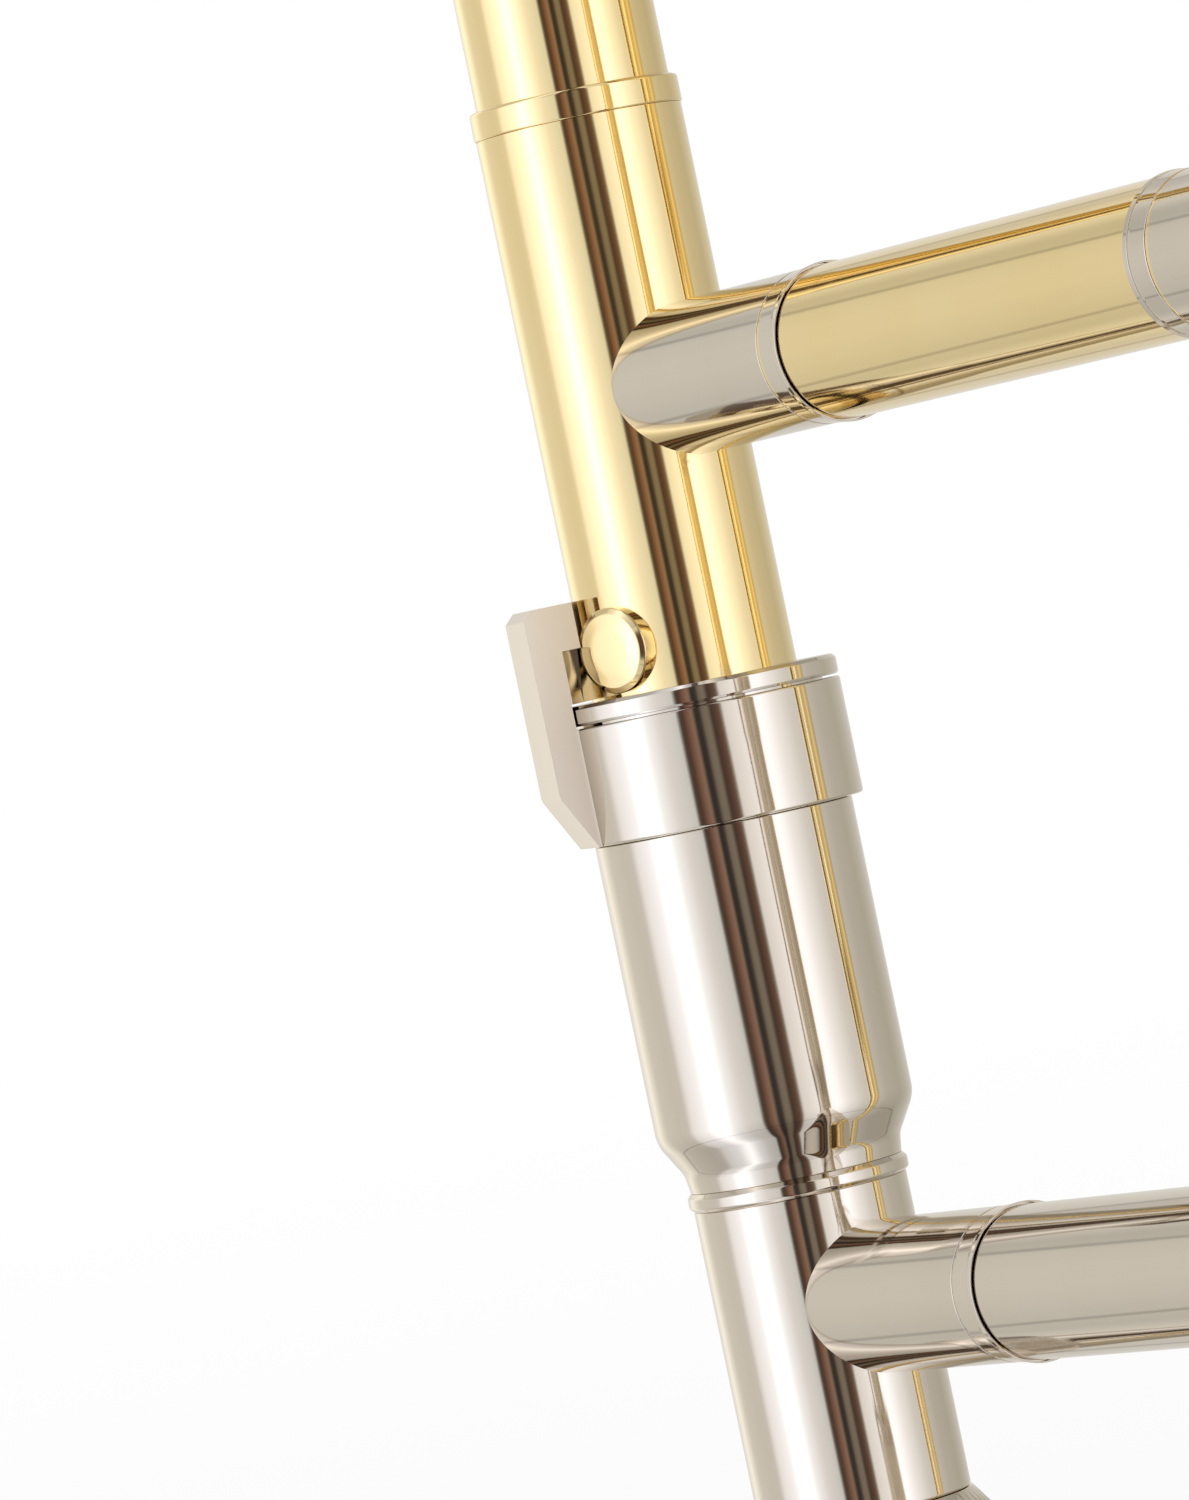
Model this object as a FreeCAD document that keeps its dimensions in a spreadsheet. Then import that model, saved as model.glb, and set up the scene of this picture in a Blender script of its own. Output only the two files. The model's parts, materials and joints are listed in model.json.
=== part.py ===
"""Tenor trombone: hand slide with its slide lock, bell section, tuning slide and mouthpiece.

Millimetres.  The origin is the middle of the fixed cross-bar that the left hand holds.
+Z runs along the slide legs towards the crook at the far end of the slide.
+X runs from the leg that leads to the bell to the leg that carries the mouthpiece.
The bell hangs off the bell-side leg towards -Y.
"""
import FreeCAD, Part
import math
import os
import re

import Sketcher

V = FreeCAD.Vector

SIZES = (
    ("leg_spacing", 100.0, "slide legs, centre to centre"),
    ("inner_bore", 13.9, "bore of the fixed inner slide tubes"),
    ("inner_od", 14.5, "outside of the inner slide tubes"),
    ("inner_top", 612.0, "far end of the inner slide tubes"),
    ("stocking_od", 14.82, "thick running end of an inner tube"),
    ("stocking_length", 110.0, "length of the thick running end"),
    ("outer_bore", 15.0, "bore of the moving outer tubes"),
    ("outer_od", 15.5, "outside of the moving outer tubes"),
    ("slide_foot", 21.3, "near end of the outer tubes, slide closed"),
    ("sleeve_od", 16.54, "reinforcing sleeve on an outer tube"),
    ("sleeve_top", 97.5, "far end of the reinforcing sleeve"),
    ("grip_od", 17.12, "tube that the left hand closes on"),
    ("grip_top", 8.95, "far end of the grip tube"),
    ("bead_od", 17.72, "bead at the neck of a cork barrel"),
    ("barrel_foot", 10.45, "near end of a cork barrel"),
    ("barrel_floor", 17.0, "seat of the felt inside a barrel"),
    ("barrel_od", 20.72, "cork barrel"),
    ("barrel_bore", 17.9, "bore of a cork barrel"),
    ("barrel_seat", 38.8, "step that carries the lock ring"),
    ("seat_od", 20.0, "barrel where the lock ring turns"),
    ("barrel_top", 50.1, "open end of a barrel"),
    ("felt_top", 21.0, "face of the felt that the slide closes on"),
    ("ring_od", 22.66, "slide lock ring"),
    ("ring_top", 48.3, "far face of the lock ring"),
    ("end_ring_foot", 48.5, "near face of the retaining ring"),
    ("running_gap", 0.06, "radial clearance of parts that turn"),
    ("stud_height", 53.8, "centre of the lock stud"),
    ("stud_od", 6.8, "lock stud"),
    ("stud_reach", 9.6, "crown of the stud from the tube's axis"),
    ("hook_width", 4.7, "hook of the slide lock"),
    ("hook_reach", 13.7, "outside of the hook from the tube's axis"),
    ("hook_top", 58.2, "top of the hook"),
    ("hook_bore", 8.6, "inside of the hook from the tube's axis"),
    ("hook_slot", 3.6, "wall of the hook's slot, beside the stud's axis"),
    ("hook_lip", 2.8, "end of the hook's lip, beside the stud's axis"),
    ("lip_under", 9.38, "underside of the lip, along the stud's axis"),
    ("slot_roof", 0.75, "roof of the hook's slot above the stud's axis"),
    ("brace_od", 12.0, "cross-bar of either brace"),
    ("ferrule_od", 13.1, "ferrule that holds a cross-bar"),
    ("ferrule_reach", 28.2, "end of a ferrule from the leg's axis"),
    ("brace_height", 73.5, "moving brace above the fixed one"),
    ("tenon_foot", -58.0, "end of the tapered slide tenon"),
    ("nut_od", 25.2, "coupling nut of the bell section"),
    ("receiver_end", -80.0, "mouth of the mouthpiece receiver"),
    ("receiver_top", -16.5, "where the receiver meets the grip tube"),
    ("collar_od", 20.8, "knurled collar of the receiver"),
    ("tube_end", -20.0, "end of the bell-side inner tube, inside its tenon"),
    ("grip_end", -18.0, "end of the bell-side grip tube"),
    ("crook_start", 632.0, "end of the outer tubes"),
    ("crook_turn", 660.0, "start of the crook's half circle"),
    ("crook_od", 16.2, "crook tube"),
    ("bell_offset", 125.0, "bell axis to bell-side leg"),
    ("rim_height", 215.0, "plane of the bell's rim"),
    ("rim_radius", 105.5, "inside of the bell at its rim"),
    ("stem_end", -240.0, "narrow end of the bell"),
    ("bell_seam", 60.0, "joint between the bell's stem and its flare"),
    ("stem_radius", 9.6, "inside of the bell at its narrow end"),
    ("bell_wall", 0.7, "thickness of the bell"),
    ("neckpipe_od", 16.0, "neckpipe"),
    ("tuning_foot", -338.0, "open ends of the tuning sleeves"),
    ("bow_turn", -380.0, "start of the tuning bow's half circle"),
    ("bow_od", 18.8, "tuning bow tube"),
    ("cup_rim_od", 39.0, "mouthpiece rim"),
    ("key_pivot", 630.0, "pivot of the water key"),
    ("key_hole", 653.0, "drain hole of the crook"),
    ("key_arm", 13.8, "pivot of the water key from the leg's axis"),
    ("spring_od", 5.96, "closed coil of the water key's spring"),
    ("spring_id", 5.08, "inside of that coil, clear of the lever's hub"),
    ("spring_length", 1.56, "closed coil, end to end"),
    ("neck_sleeve_od", 18.1, "tuning sleeve on the neckpipe"),
    ("stem_sleeve_od", 20.6, "tuning sleeve on the bell's stem"),
    ("stay_foot_od", 12.0, "foot of a bell stay"),
    ("stay_od", 6.4, "bar of a bell stay"),
)

SIDES = (("bell_side", "-leg_spacing / 2", 0.0), ("mouthpiece_side", "leg_spacing / 2", 180.0))
BELL_LEG = "-leg_spacing / 2"
MOUTHPIECE_LEG = "leg_spacing / 2"
STUD_AZIMUTH = 104.5
HOOK_AZIMUTH = 74.0
FLARE_POWER = 0.7
FLARE_STEPS = 14
GUARD_SPAN = 84.0
SLACK = 1e-6

doc = FreeCAD.newDocument("Trombone")
sheet = doc.addObject("Spreadsheet::Sheet", "Sizes")
made = []


def fill_sheet():
    """Put each driving dimension in the sheet with its alias and a note."""
    for row, (alias, size, note) in enumerate(SIZES, start=1):
        sheet.set("A%d" % row, alias)
        sheet.set("B%d" % row, "%g" % size)
        sheet.set("C%d" % row, note)
        sheet.setAlias("B%d" % row, alias)
    doc.recompute()


def bound(formula):
    """Point each alias in a formula at the sheet."""
    names = "|".join(sorted((alias for alias, _, _ in SIZES), key=len, reverse=True))
    return re.sub(r"\b(%s)\b" % names, r"Sizes.\1", formula)


def size(alias):
    return float(sheet.get(alias))


def worked_out(formula):
    """The number that a formula comes to, for a sketch's first drawing."""
    return float(sheet.evalExpression(bound(formula)))


def keep(thing, label, x="0", y="0", z="0", turn=0.0, about=V(0, 0, 1)):
    """Name a finished sub-part and put it where it belongs."""
    thing.Label = label
    thing.Placement = FreeCAD.Placement(V(0, 0, 0), FreeCAD.Rotation(about, turn))
    for letter, formula in zip("xyz", (x, y, z)):
        if formula != "0":
            thing.setExpression("Placement.Base." + letter, bound(formula))
    made.append(thing)
    return thing


def outline_sketch(body, role, points):
    """A closed polygon whose corners are all bound to formulas."""
    plane = [p for p in body.Origin.OriginFeatures if p.Role == role][0]
    sketch = body.newObject("Sketcher::SketchObject", body.Name + "_outline")
    sketch.AttachmentSupport = (plane, [""])
    sketch.MapMode = "FlatFace"
    corners = [V(worked_out(across), worked_out(up), 0) for across, up in points]
    count = len(corners)
    for i, corner in enumerate(corners):
        sketch.addGeometry(Part.LineSegment(corner, corners[(i + 1) % count]), False)
    for i in range(count):
        sketch.addConstraint(Sketcher.Constraint("Coincident", i, 2, (i + 1) % count, 1))
    for i, (across, up) in enumerate(points):
        for kind, formula, axis in (("DistanceX", across, -2), ("DistanceY", up, -1)):
            if formula == "0":
                sketch.addConstraint(Sketcher.Constraint("PointOnObject", i, 1, axis))
                continue
            start = worked_out(formula)
            number = sketch.addConstraint(Sketcher.Constraint(kind, -1, 1, i, 1, start))
            sketch.setExpression("Constraints[%d]" % number, bound(formula))
    return sketch


def turned(name, points, across=False):
    """Turn an outline of (radius, place along the axis) pairs about Z, or about X if across."""
    body = doc.addObject("PartDesign::Body", name)
    if across:
        points = [(place, radius) for radius, place in points]
    sketch = outline_sketch(body, "XZ_Plane", points)
    feature = body.newObject("PartDesign::Revolution", name + "_turn")
    feature.Profile = sketch
    feature.ReferenceAxis = (sketch, ["H_Axis" if across else "V_Axis"])
    feature.Angle = 360.0
    return body


def tube(name, outside, inside, foot, top, across=False):
    """A plain tube or ring between two places on its axis."""
    corners = [(inside, foot), (outside, foot), (outside, top), (inside, top)]
    return turned(name, corners, across)


def rod(name, radius, foot, top, across=False):
    """A plain round bar between two places on its axis."""
    return turned(name, [("0", foot), (radius, foot), (radius, top), ("0", top)], across)


def flat_piece(name, role, points, thickness):
    """Pad an outline equally to both sides of one of the body's own planes."""
    body = doc.addObject("PartDesign::Body", name)
    sketch = outline_sketch(body, role, points)
    feature = body.newObject("PartDesign::Pad", name + "_pad")
    feature.Profile = sketch
    feature.setExpression("Length", bound(thickness))
    feature.SideType = "Symmetric"
    return body


def softened(body, radius, corners):
    """Fillet the round edges that lie at these (radius, height) corners."""
    doc.recompute()
    base = body.Tip
    names = []
    for number, edge in enumerate(base.Shape.Edges, start=1):
        if not isinstance(edge.Curve, Part.Circle):
            continue
        for across, up in corners:
            near = abs(edge.Curve.Radius - worked_out(across)) < 0.02
            if near and abs(edge.Curve.Center.z - worked_out(up)) < 0.02:
                names.append("Edge%d" % number)
    fillet = body.newObject("PartDesign::Fillet", body.Name + "_soft")
    fillet.Base = (base, names)
    fillet.Radius = radius
    body.Tip = fillet
    return body


def cylinder(name, radius, height, direction=V(0, 0, 1), x="0", y="0", z="0"):
    thing = doc.addObject("Part::Cylinder", name)
    thing.setExpression("Radius", bound(radius))
    thing.setExpression("Height", bound(height))
    thing.Placement.Rotation = FreeCAD.Rotation(V(0, 0, 1), direction)
    for letter, formula in zip("xyz", (x, y, z)):
        if formula != "0":
            thing.setExpression("Placement.Base." + letter, bound(formula))
    return thing


def less(name, base, tool):
    thing = doc.addObject("Part::Cut", name)
    thing.Base = base
    thing.Tool = tool
    return thing


def joined(name, *pieces):
    thing = doc.addObject("Part::MultiFuse", name)
    thing.Shapes = list(pieces)
    return thing


def leg_cutter(name, radius):
    """The tube that a ferrule or a stud is saddled on, as a cutting tool."""
    return cylinder(name, radius, "leg_spacing", z="-leg_spacing / 2")


def inner_slide():
    """The fixed half of the hand slide, on both legs."""
    for side, leg, _ in SIDES:
        bell = side == "bell_side"
        end = "tube_end" if bell else "receiver_end + 2"
        keep(tube("inner_" + side, "inner_od / 2", "inner_bore / 2", end, "inner_top"),
             "inner_tube_" + side, x=leg)
        keep(tube("stocking_" + side, "stocking_od / 2", "inner_od / 2",
                  "inner_top - stocking_length", "inner_top"),
             "stocking_" + side, x=leg)
        keep(tube("grip_" + side, "grip_od / 2", "inner_od / 2",
                  "grip_end" if bell else "receiver_top", "grip_top"),
             "grip_tube_" + side, x=leg)
        keep(tube("bead_" + side, "bead_od / 2", "inner_od / 2", "grip_top", "barrel_foot"),
             "neck_bead_" + side, x=leg)
        keep(cork_barrel(side), "cork_barrel_" + side, x=leg)
        keep(tube("felt_" + side, "barrel_bore / 2 - 0.05", "inner_od / 2 + 0.1",
                  "barrel_floor", "felt_top"),
             "barrel_felt_" + side, x=leg)


def cork_barrel(side):
    """A barrel that narrows through a rounded shoulder to the neck of its leg."""
    body = turned("barrel_" + side, [
        ("inner_od / 2", "barrel_foot"),
        ("grip_od / 2", "barrel_foot"),
        ("barrel_od / 2", "barrel_foot + 4"),
        ("barrel_od / 2", "barrel_seat"),
        ("seat_od / 2", "barrel_seat"),
        ("seat_od / 2", "barrel_top"),
        ("barrel_bore / 2", "barrel_top"),
        ("barrel_bore / 2", "barrel_floor"),
        ("inner_od / 2", "barrel_floor"),
    ])
    return softened(body, 3.0, [("barrel_od / 2", "barrel_foot + 4")])


def beside_stud(name, wall, reach, roof):
    """A cutting box that stands round the stud, with a wall on the hook's side of it."""
    ahead = math.radians(STUD_AZIMUTH - HOOK_AZIMUTH)
    aside = V(math.sin(ahead), -math.cos(ahead), 0) * size(wall)
    box = doc.addObject("Part::Box", name)
    box.setExpression("Length", bound(reach))
    box.setExpression("Width", bound("3 * hook_slot"))
    box.setExpression("Height", bound("stud_height - barrel_top + 1 + " + roof))
    turn = FreeCAD.Rotation(V(0, 0, 1), STUD_AZIMUTH - HOOK_AZIMUTH)
    box.Placement = FreeCAD.Placement(aside, turn)
    box.setExpression("Placement.Base.z", bound("barrel_top - 1"))
    return box


def slide_lock():
    """The ring that turns on one barrel, its hook, and the rings that end the barrels."""
    bore = "seat_od / 2 + running_gap"
    keep(tube("lock_ring", "ring_od / 2", bore, "barrel_seat + 0.1", "ring_top"),
         "slide_lock_ring", x=MOUTHPIECE_LEG)
    keep(tube("retaining", "ring_od / 2", "seat_od / 2", "end_ring_foot", "barrel_top"),
         "lock_retaining_ring", x=MOUTHPIECE_LEG)
    keep(tube("plain_end", "ring_od / 2 - 0.3", "seat_od / 2", "barrel_seat + 5", "barrel_top"),
         "barrel_end_ring", x=BELL_LEG)
    round_hook = turned("hook_profile", [
        ("ring_od / 2", "barrel_seat + 0.1"),
        ("hook_reach", "barrel_seat + 4.4"),
        ("hook_reach", "hook_top - 0.8"),
        ("hook_reach - 0.8", "hook_top"),
        ("hook_bore", "hook_top"),
        ("hook_bore", "barrel_top + 0.25"),
        ("ring_od / 2 + 0.15", "barrel_top + 0.25"),
        ("ring_od / 2 + 0.15", "ring_top"),
        ("ring_od / 2", "ring_top"),
    ])
    width = doc.addObject("Part::Box", "hook_slice")
    width.setExpression("Length", bound("hook_reach"))
    width.setExpression("Width", bound("hook_width"))
    width.setExpression("Height", bound("hook_top"))
    width.setExpression("Placement.Base.x", bound("hook_bore - 1"))
    width.setExpression("Placement.Base.y", bound("-hook_width / 2"))
    sliced = doc.addObject("Part::Common", "hook_blank")
    sliced.Base = round_hook
    sliced.Tool = width
    # The slot's wall runs beside the stud, and the lip over it reaches across the stud's head.
    slot = beside_stud("hook_slot_cut", "hook_slot", "hook_reach + 2", "slot_roof")
    under = beside_stud("hook_under_cut", "hook_slot", "lip_under", "2 * hook_slot")
    end = beside_stud("hook_end_cut", "hook_lip", "hook_reach + 2", "2 * hook_slot")
    shaped = less("hook_shaped", less("hook_slotted", sliced, slot), under)
    keep(less("hook_cut", shaped, end), "slide_lock_hook", x=MOUTHPIECE_LEG,
         turn=HOOK_AZIMUTH)


def lock_stud():
    """The domed stud on the moving sleeve that the hook catches."""
    crown = turned("stud_turn", [
        ("0", "sleeve_od / 2 - 1.4"),
        ("stud_od / 2", "sleeve_od / 2 - 1.4"),
        ("stud_od / 2", "stud_reach - 0.6"),
        ("stud_od / 2 - 0.5", "stud_reach - 0.3"),
        ("stud_od / 2 - 1.6", "stud_reach - 0.1"),
        ("0", "stud_reach"),
    ], across=True)
    saddled = less("stud_saddle", crown, leg_cutter("stud_seat", "sleeve_od / 2"))
    keep(saddled, "lock_stud", x=MOUTHPIECE_LEG, z="stud_height", turn=STUD_AZIMUTH)


def brace(which, leg_radius, height):
    """A cross-bar and the two ferrules that hold it between the legs."""
    bar = rod("%s_bar" % which, "brace_od / 2", "-leg_spacing / 2 + 12", "leg_spacing / 2 - 12",
              across=True)
    keep(bar, "%s_brace_bar" % which, z=height)
    for side, leg, turn in SIDES:
        name = "%s_%s" % (which, side)
        body = turned(name + "_ferrule", [
            ("0", "4"),
            ("ferrule_od / 2", "4"),
            ("ferrule_od / 2", "ferrule_reach - 2.4"),
            ("ferrule_od / 2 - 0.2", "ferrule_reach - 2.2"),
            ("ferrule_od / 2 - 0.2", "ferrule_reach - 1.9"),
            ("ferrule_od / 2 + 0.1", "ferrule_reach - 1.7"),
            ("ferrule_od / 2 + 0.1", "ferrule_reach"),
            ("brace_od / 2", "ferrule_reach"),
            ("brace_od / 2", "12"),
            ("0", "12"),
        ], across=True)
        seat = leg_cutter(name + "_seat", leg_radius)
        keep(less(name + "_saddle", body, seat), "%s_brace_ferrule_%s" % (which, side),
             x=leg, z=height, turn=turn)


def receiver_end():
    """Leadpipe, mouthpiece receiver and the mouthpiece itself."""
    keep(turned("leadpipe_turn", [
        ("6.40", "receiver_end + 2"),
        ("inner_bore / 2", "receiver_end + 2"),
        ("inner_bore / 2", "150"),
        ("6.70", "150"),
        ("5.75", "receiver_end + 29"),
        ("5.75", "receiver_end + 28"),
    ]), "leadpipe", x=MOUTHPIECE_LEG)
    keep(turned("receiver_turn", [
        ("inner_od / 2", "receiver_top"),
        ("grip_od / 2 + 0.1", "receiver_top"),
        ("collar_od / 2", "receiver_top - 2.3"),
        ("collar_od / 2", "receiver_top - 7.5"),
        ("grip_od / 2 + 0.1", "receiver_top - 9"),
        ("8.4", "receiver_end + 22"),
        ("8.4", "receiver_end + 6"),
        ("9.4", "receiver_end + 5"),
        ("9.4", "receiver_end"),
        ("6.46", "receiver_end"),
        ("6.42", "receiver_end + 2"),
        ("inner_od / 2", "receiver_end + 2"),
    ]), "mouthpiece_receiver", x=MOUTHPIECE_LEG)
    cup = turned("cup_turn", [
        ("5.70", "receiver_end + 27"),
        ("6.37", "receiver_end"),
        ("6.6", "receiver_end - 8"),
        ("8.2", "receiver_end - 24"),
        ("14.5", "receiver_end - 38"),
        ("17.4", "receiver_end - 50"),
        ("cup_rim_od / 2", "receiver_end - 54"),
        ("cup_rim_od / 2", "receiver_end - 58"),
        ("12.9", "receiver_end - 58"),
        ("12.4", "receiver_end - 50"),
        ("9.2", "receiver_end - 38"),
        ("3.6", "receiver_end - 31"),
        ("3.5", "receiver_end - 26"),
        ("5.0", "receiver_end + 27"),
    ])
    cup = softened(cup, 1.7, [("cup_rim_od / 2", "receiver_end - 54"),
                              ("cup_rim_od / 2", "receiver_end - 58"),
                              ("12.9", "receiver_end - 58")])
    keep(cup, "mouthpiece", x=MOUTHPIECE_LEG)


def bell_coupling():
    """Tapered tenon, coupling nut and the receiver on the bell section."""
    keep(turned("tenon_turn", [
        ("inner_od / 2", "grip_end"),
        ("9.3", "grip_end"),
        ("9.3", "grip_end - 3"),
        ("8.4", "grip_end - 3"),
        ("7.7", "tenon_foot"),
        ("inner_bore / 2", "tenon_foot"),
        ("inner_bore / 2", "tube_end"),
        ("inner_od / 2", "tube_end"),
    ]), "slide_tenon", x=BELL_LEG)
    keep(turned("nut_turn", [
        ("grip_od / 2 + 0.1", "-16.5"),
        ("nut_od / 2 - 1", "-16.5"),
        ("nut_od / 2", "-17.5"),
        ("nut_od / 2", "-31"),
        ("nut_od / 2 - 1", "-32"),
        ("10.78", "-32"),
        ("10.78", "-17.9"),
        ("grip_od / 2 + 0.1", "-17.9"),
    ]), "bell_lock_nut", x=BELL_LEG)
    keep(turned("bell_receiver_turn", [
        ("8.45", "-21.3"),
        ("10.7", "-21.3"),
        ("10.7", "-33.5"),
        ("9.6", "-35"),
        ("9.6", "tenon_foot - 9"),
        ("neckpipe_od / 2", "tenon_foot - 10"),
        ("neckpipe_od / 2", "tenon_foot - 2"),
        ("7.75", "tenon_foot - 2"),
        ("7.75", "tenon_foot"),
    ]), "bell_receiver", x=BELL_LEG)


def outer_slide():
    """The moving half of the hand slide: tubes, sleeves, end rings and crook ferrules."""
    for side, leg, _ in SIDES:
        keep(tube("outer_" + side, "outer_od / 2", "outer_bore / 2", "slide_foot",
                  "crook_start"),
             "outer_tube_" + side, x=leg)
        keep(tube("sleeve_" + side, "sleeve_od / 2", "outer_od / 2", "slide_foot",
                  "sleeve_top - 2.3"),
             "oversleeve_" + side, x=leg)
        keep(turned("sleeve_end_" + side, [
            ("outer_od / 2", "sleeve_top - 2.3"),
            ("sleeve_od / 2 + 0.3", "sleeve_top - 2.3"),
            ("sleeve_od / 2 + 0.3", "sleeve_top - 1.5"),
            ("sleeve_od / 2", "sleeve_top - 1.5"),
            ("sleeve_od / 2", "sleeve_top - 0.8"),
            ("sleeve_od / 2 + 0.2", "sleeve_top - 0.8"),
            ("sleeve_od / 2 + 0.2", "sleeve_top"),
            ("outer_od / 2", "sleeve_top"),
        ]), "sleeve_end_ring_" + side, x=leg)
        keep(turned("crook_end_" + side, [
            ("outer_od / 2", "crook_start - 15"),
            ("crook_od / 2 + 0.9", "crook_start - 15"),
            ("crook_od / 2 + 0.9", "crook_start - 13"),
            ("crook_od / 2 + 0.5", "crook_start - 12.5"),
            ("crook_od / 2 + 0.5", "crook_start + 9.5"),
            ("crook_od / 2 + 0.9", "crook_start + 10"),
            ("crook_od / 2 + 0.9", "crook_start + 12"),
            ("crook_od / 2", "crook_start + 12"),
            ("crook_od / 2", "crook_start"),
            ("outer_od / 2", "crook_start"),
        ]), "crook_ferrule_" + side, x=leg)


def bow_solid(name, spacing, radius, straight):
    """A solid U of round section: a half circle and two straight legs that end at z = 0."""
    arc = doc.addObject("Part::Torus", name + "_arc")
    arc.setExpression("Radius1", bound("(%s) / 2" % spacing))
    arc.setExpression("Radius2", bound(radius))
    arc.Angle3 = 180.0
    arc.Placement.Rotation = FreeCAD.Rotation(V(1, 0, 0), 90.0)
    arc.setExpression("Placement.Base.z", bound(straight))
    pieces = [arc]
    for number, sign in enumerate(("-", "")):
        leg = cylinder("%s_leg%d" % (name, number), radius, straight,
                       x="%s(%s) / 2" % (sign, spacing))
        pieces.append(leg)
    return joined(name, *pieces)


def crook():
    """The far bow of the hand slide, its wear guard and its bumper."""
    rise = "crook_turn - crook_start"
    wall = bow_solid("crook_outside", "leg_spacing", "crook_od / 2", rise)
    bore = bow_solid("crook_inside", "leg_spacing", "outer_bore / 2", rise)
    shell = less("crook_shell", wall, bore)
    drain = cylinder("crook_drain", "1.9", "leg_spacing / 2", direction=V(-1, 0, 0),
                     x=BELL_LEG, z="key_hole - crook_start")
    keep(less("crook_drained", shell, drain), "slide_crook", z="crook_start")
    inside = cylinder("guard_inside", "leg_spacing / 2 + 1", "leg_spacing",
                      direction=V(0, 1, 0), y="-leg_spacing / 2")
    strip = ring_bar("guard_skin", "leg_spacing / 2", "crook_od / 2 + 1", GUARD_SPAN)
    hollow = ring_bar("guard_hollow", "leg_spacing / 2", "crook_od / 2")
    keep(less("guard_open", less("guard_shell", strip, hollow), inside), "crook_guard",
         z="crook_turn")
    crest = "crook_turn + leg_spacing / 2 + crook_od / 2"
    seat = ring_bar("crest_ring", "leg_spacing / 2", "crook_od / 2 + 1")
    seat.setExpression("Placement.Base.z", bound("-leg_spacing / 2 - crook_od / 2"))
    stem = turned("nipple_turn", [
        ("0", "-1.5"), ("5", "-1.5"), ("5", "3"), ("7", "3.4"), ("7", "5"), ("0", "5")])
    keep(less("nipple_seated", stem, seat), "bumper_nipple", z=crest)
    keep(turned("tip_turn", [
        ("0", "5"), ("6.5", "5"), ("7.5", "6.5"), ("7", "12"), ("5", "14.5"), ("0", "14.5")]),
        "rubber_bumper", z=crest)


def ring_bar(name, bend, radius, span=360.0):
    """A round bar bent about Y, whole or centred on +Z."""
    ring = doc.addObject("Part::Torus", name)
    ring.setExpression("Radius1", bound(bend))
    ring.setExpression("Radius2", bound(radius))
    ring.Angle3 = span
    upright = FreeCAD.Rotation(V(1, 0, 0), 90.0)
    ring.Placement.Rotation = upright * FreeCAD.Rotation(V(0, 0, 1), 90.0 - span / 2)
    return ring


def block(name, low, high):
    """A box between two corners that are given as formulas."""
    thing = doc.addObject("Part::Box", name)
    for side, letter, start, end in zip(("Length", "Width", "Height"), "xyz", low, high):
        thing.setExpression(side, bound("(%s) - (%s)" % (end, start)))
        if start != "0":
            thing.setExpression("Placement.Base." + letter, bound(start))
    return thing


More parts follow.
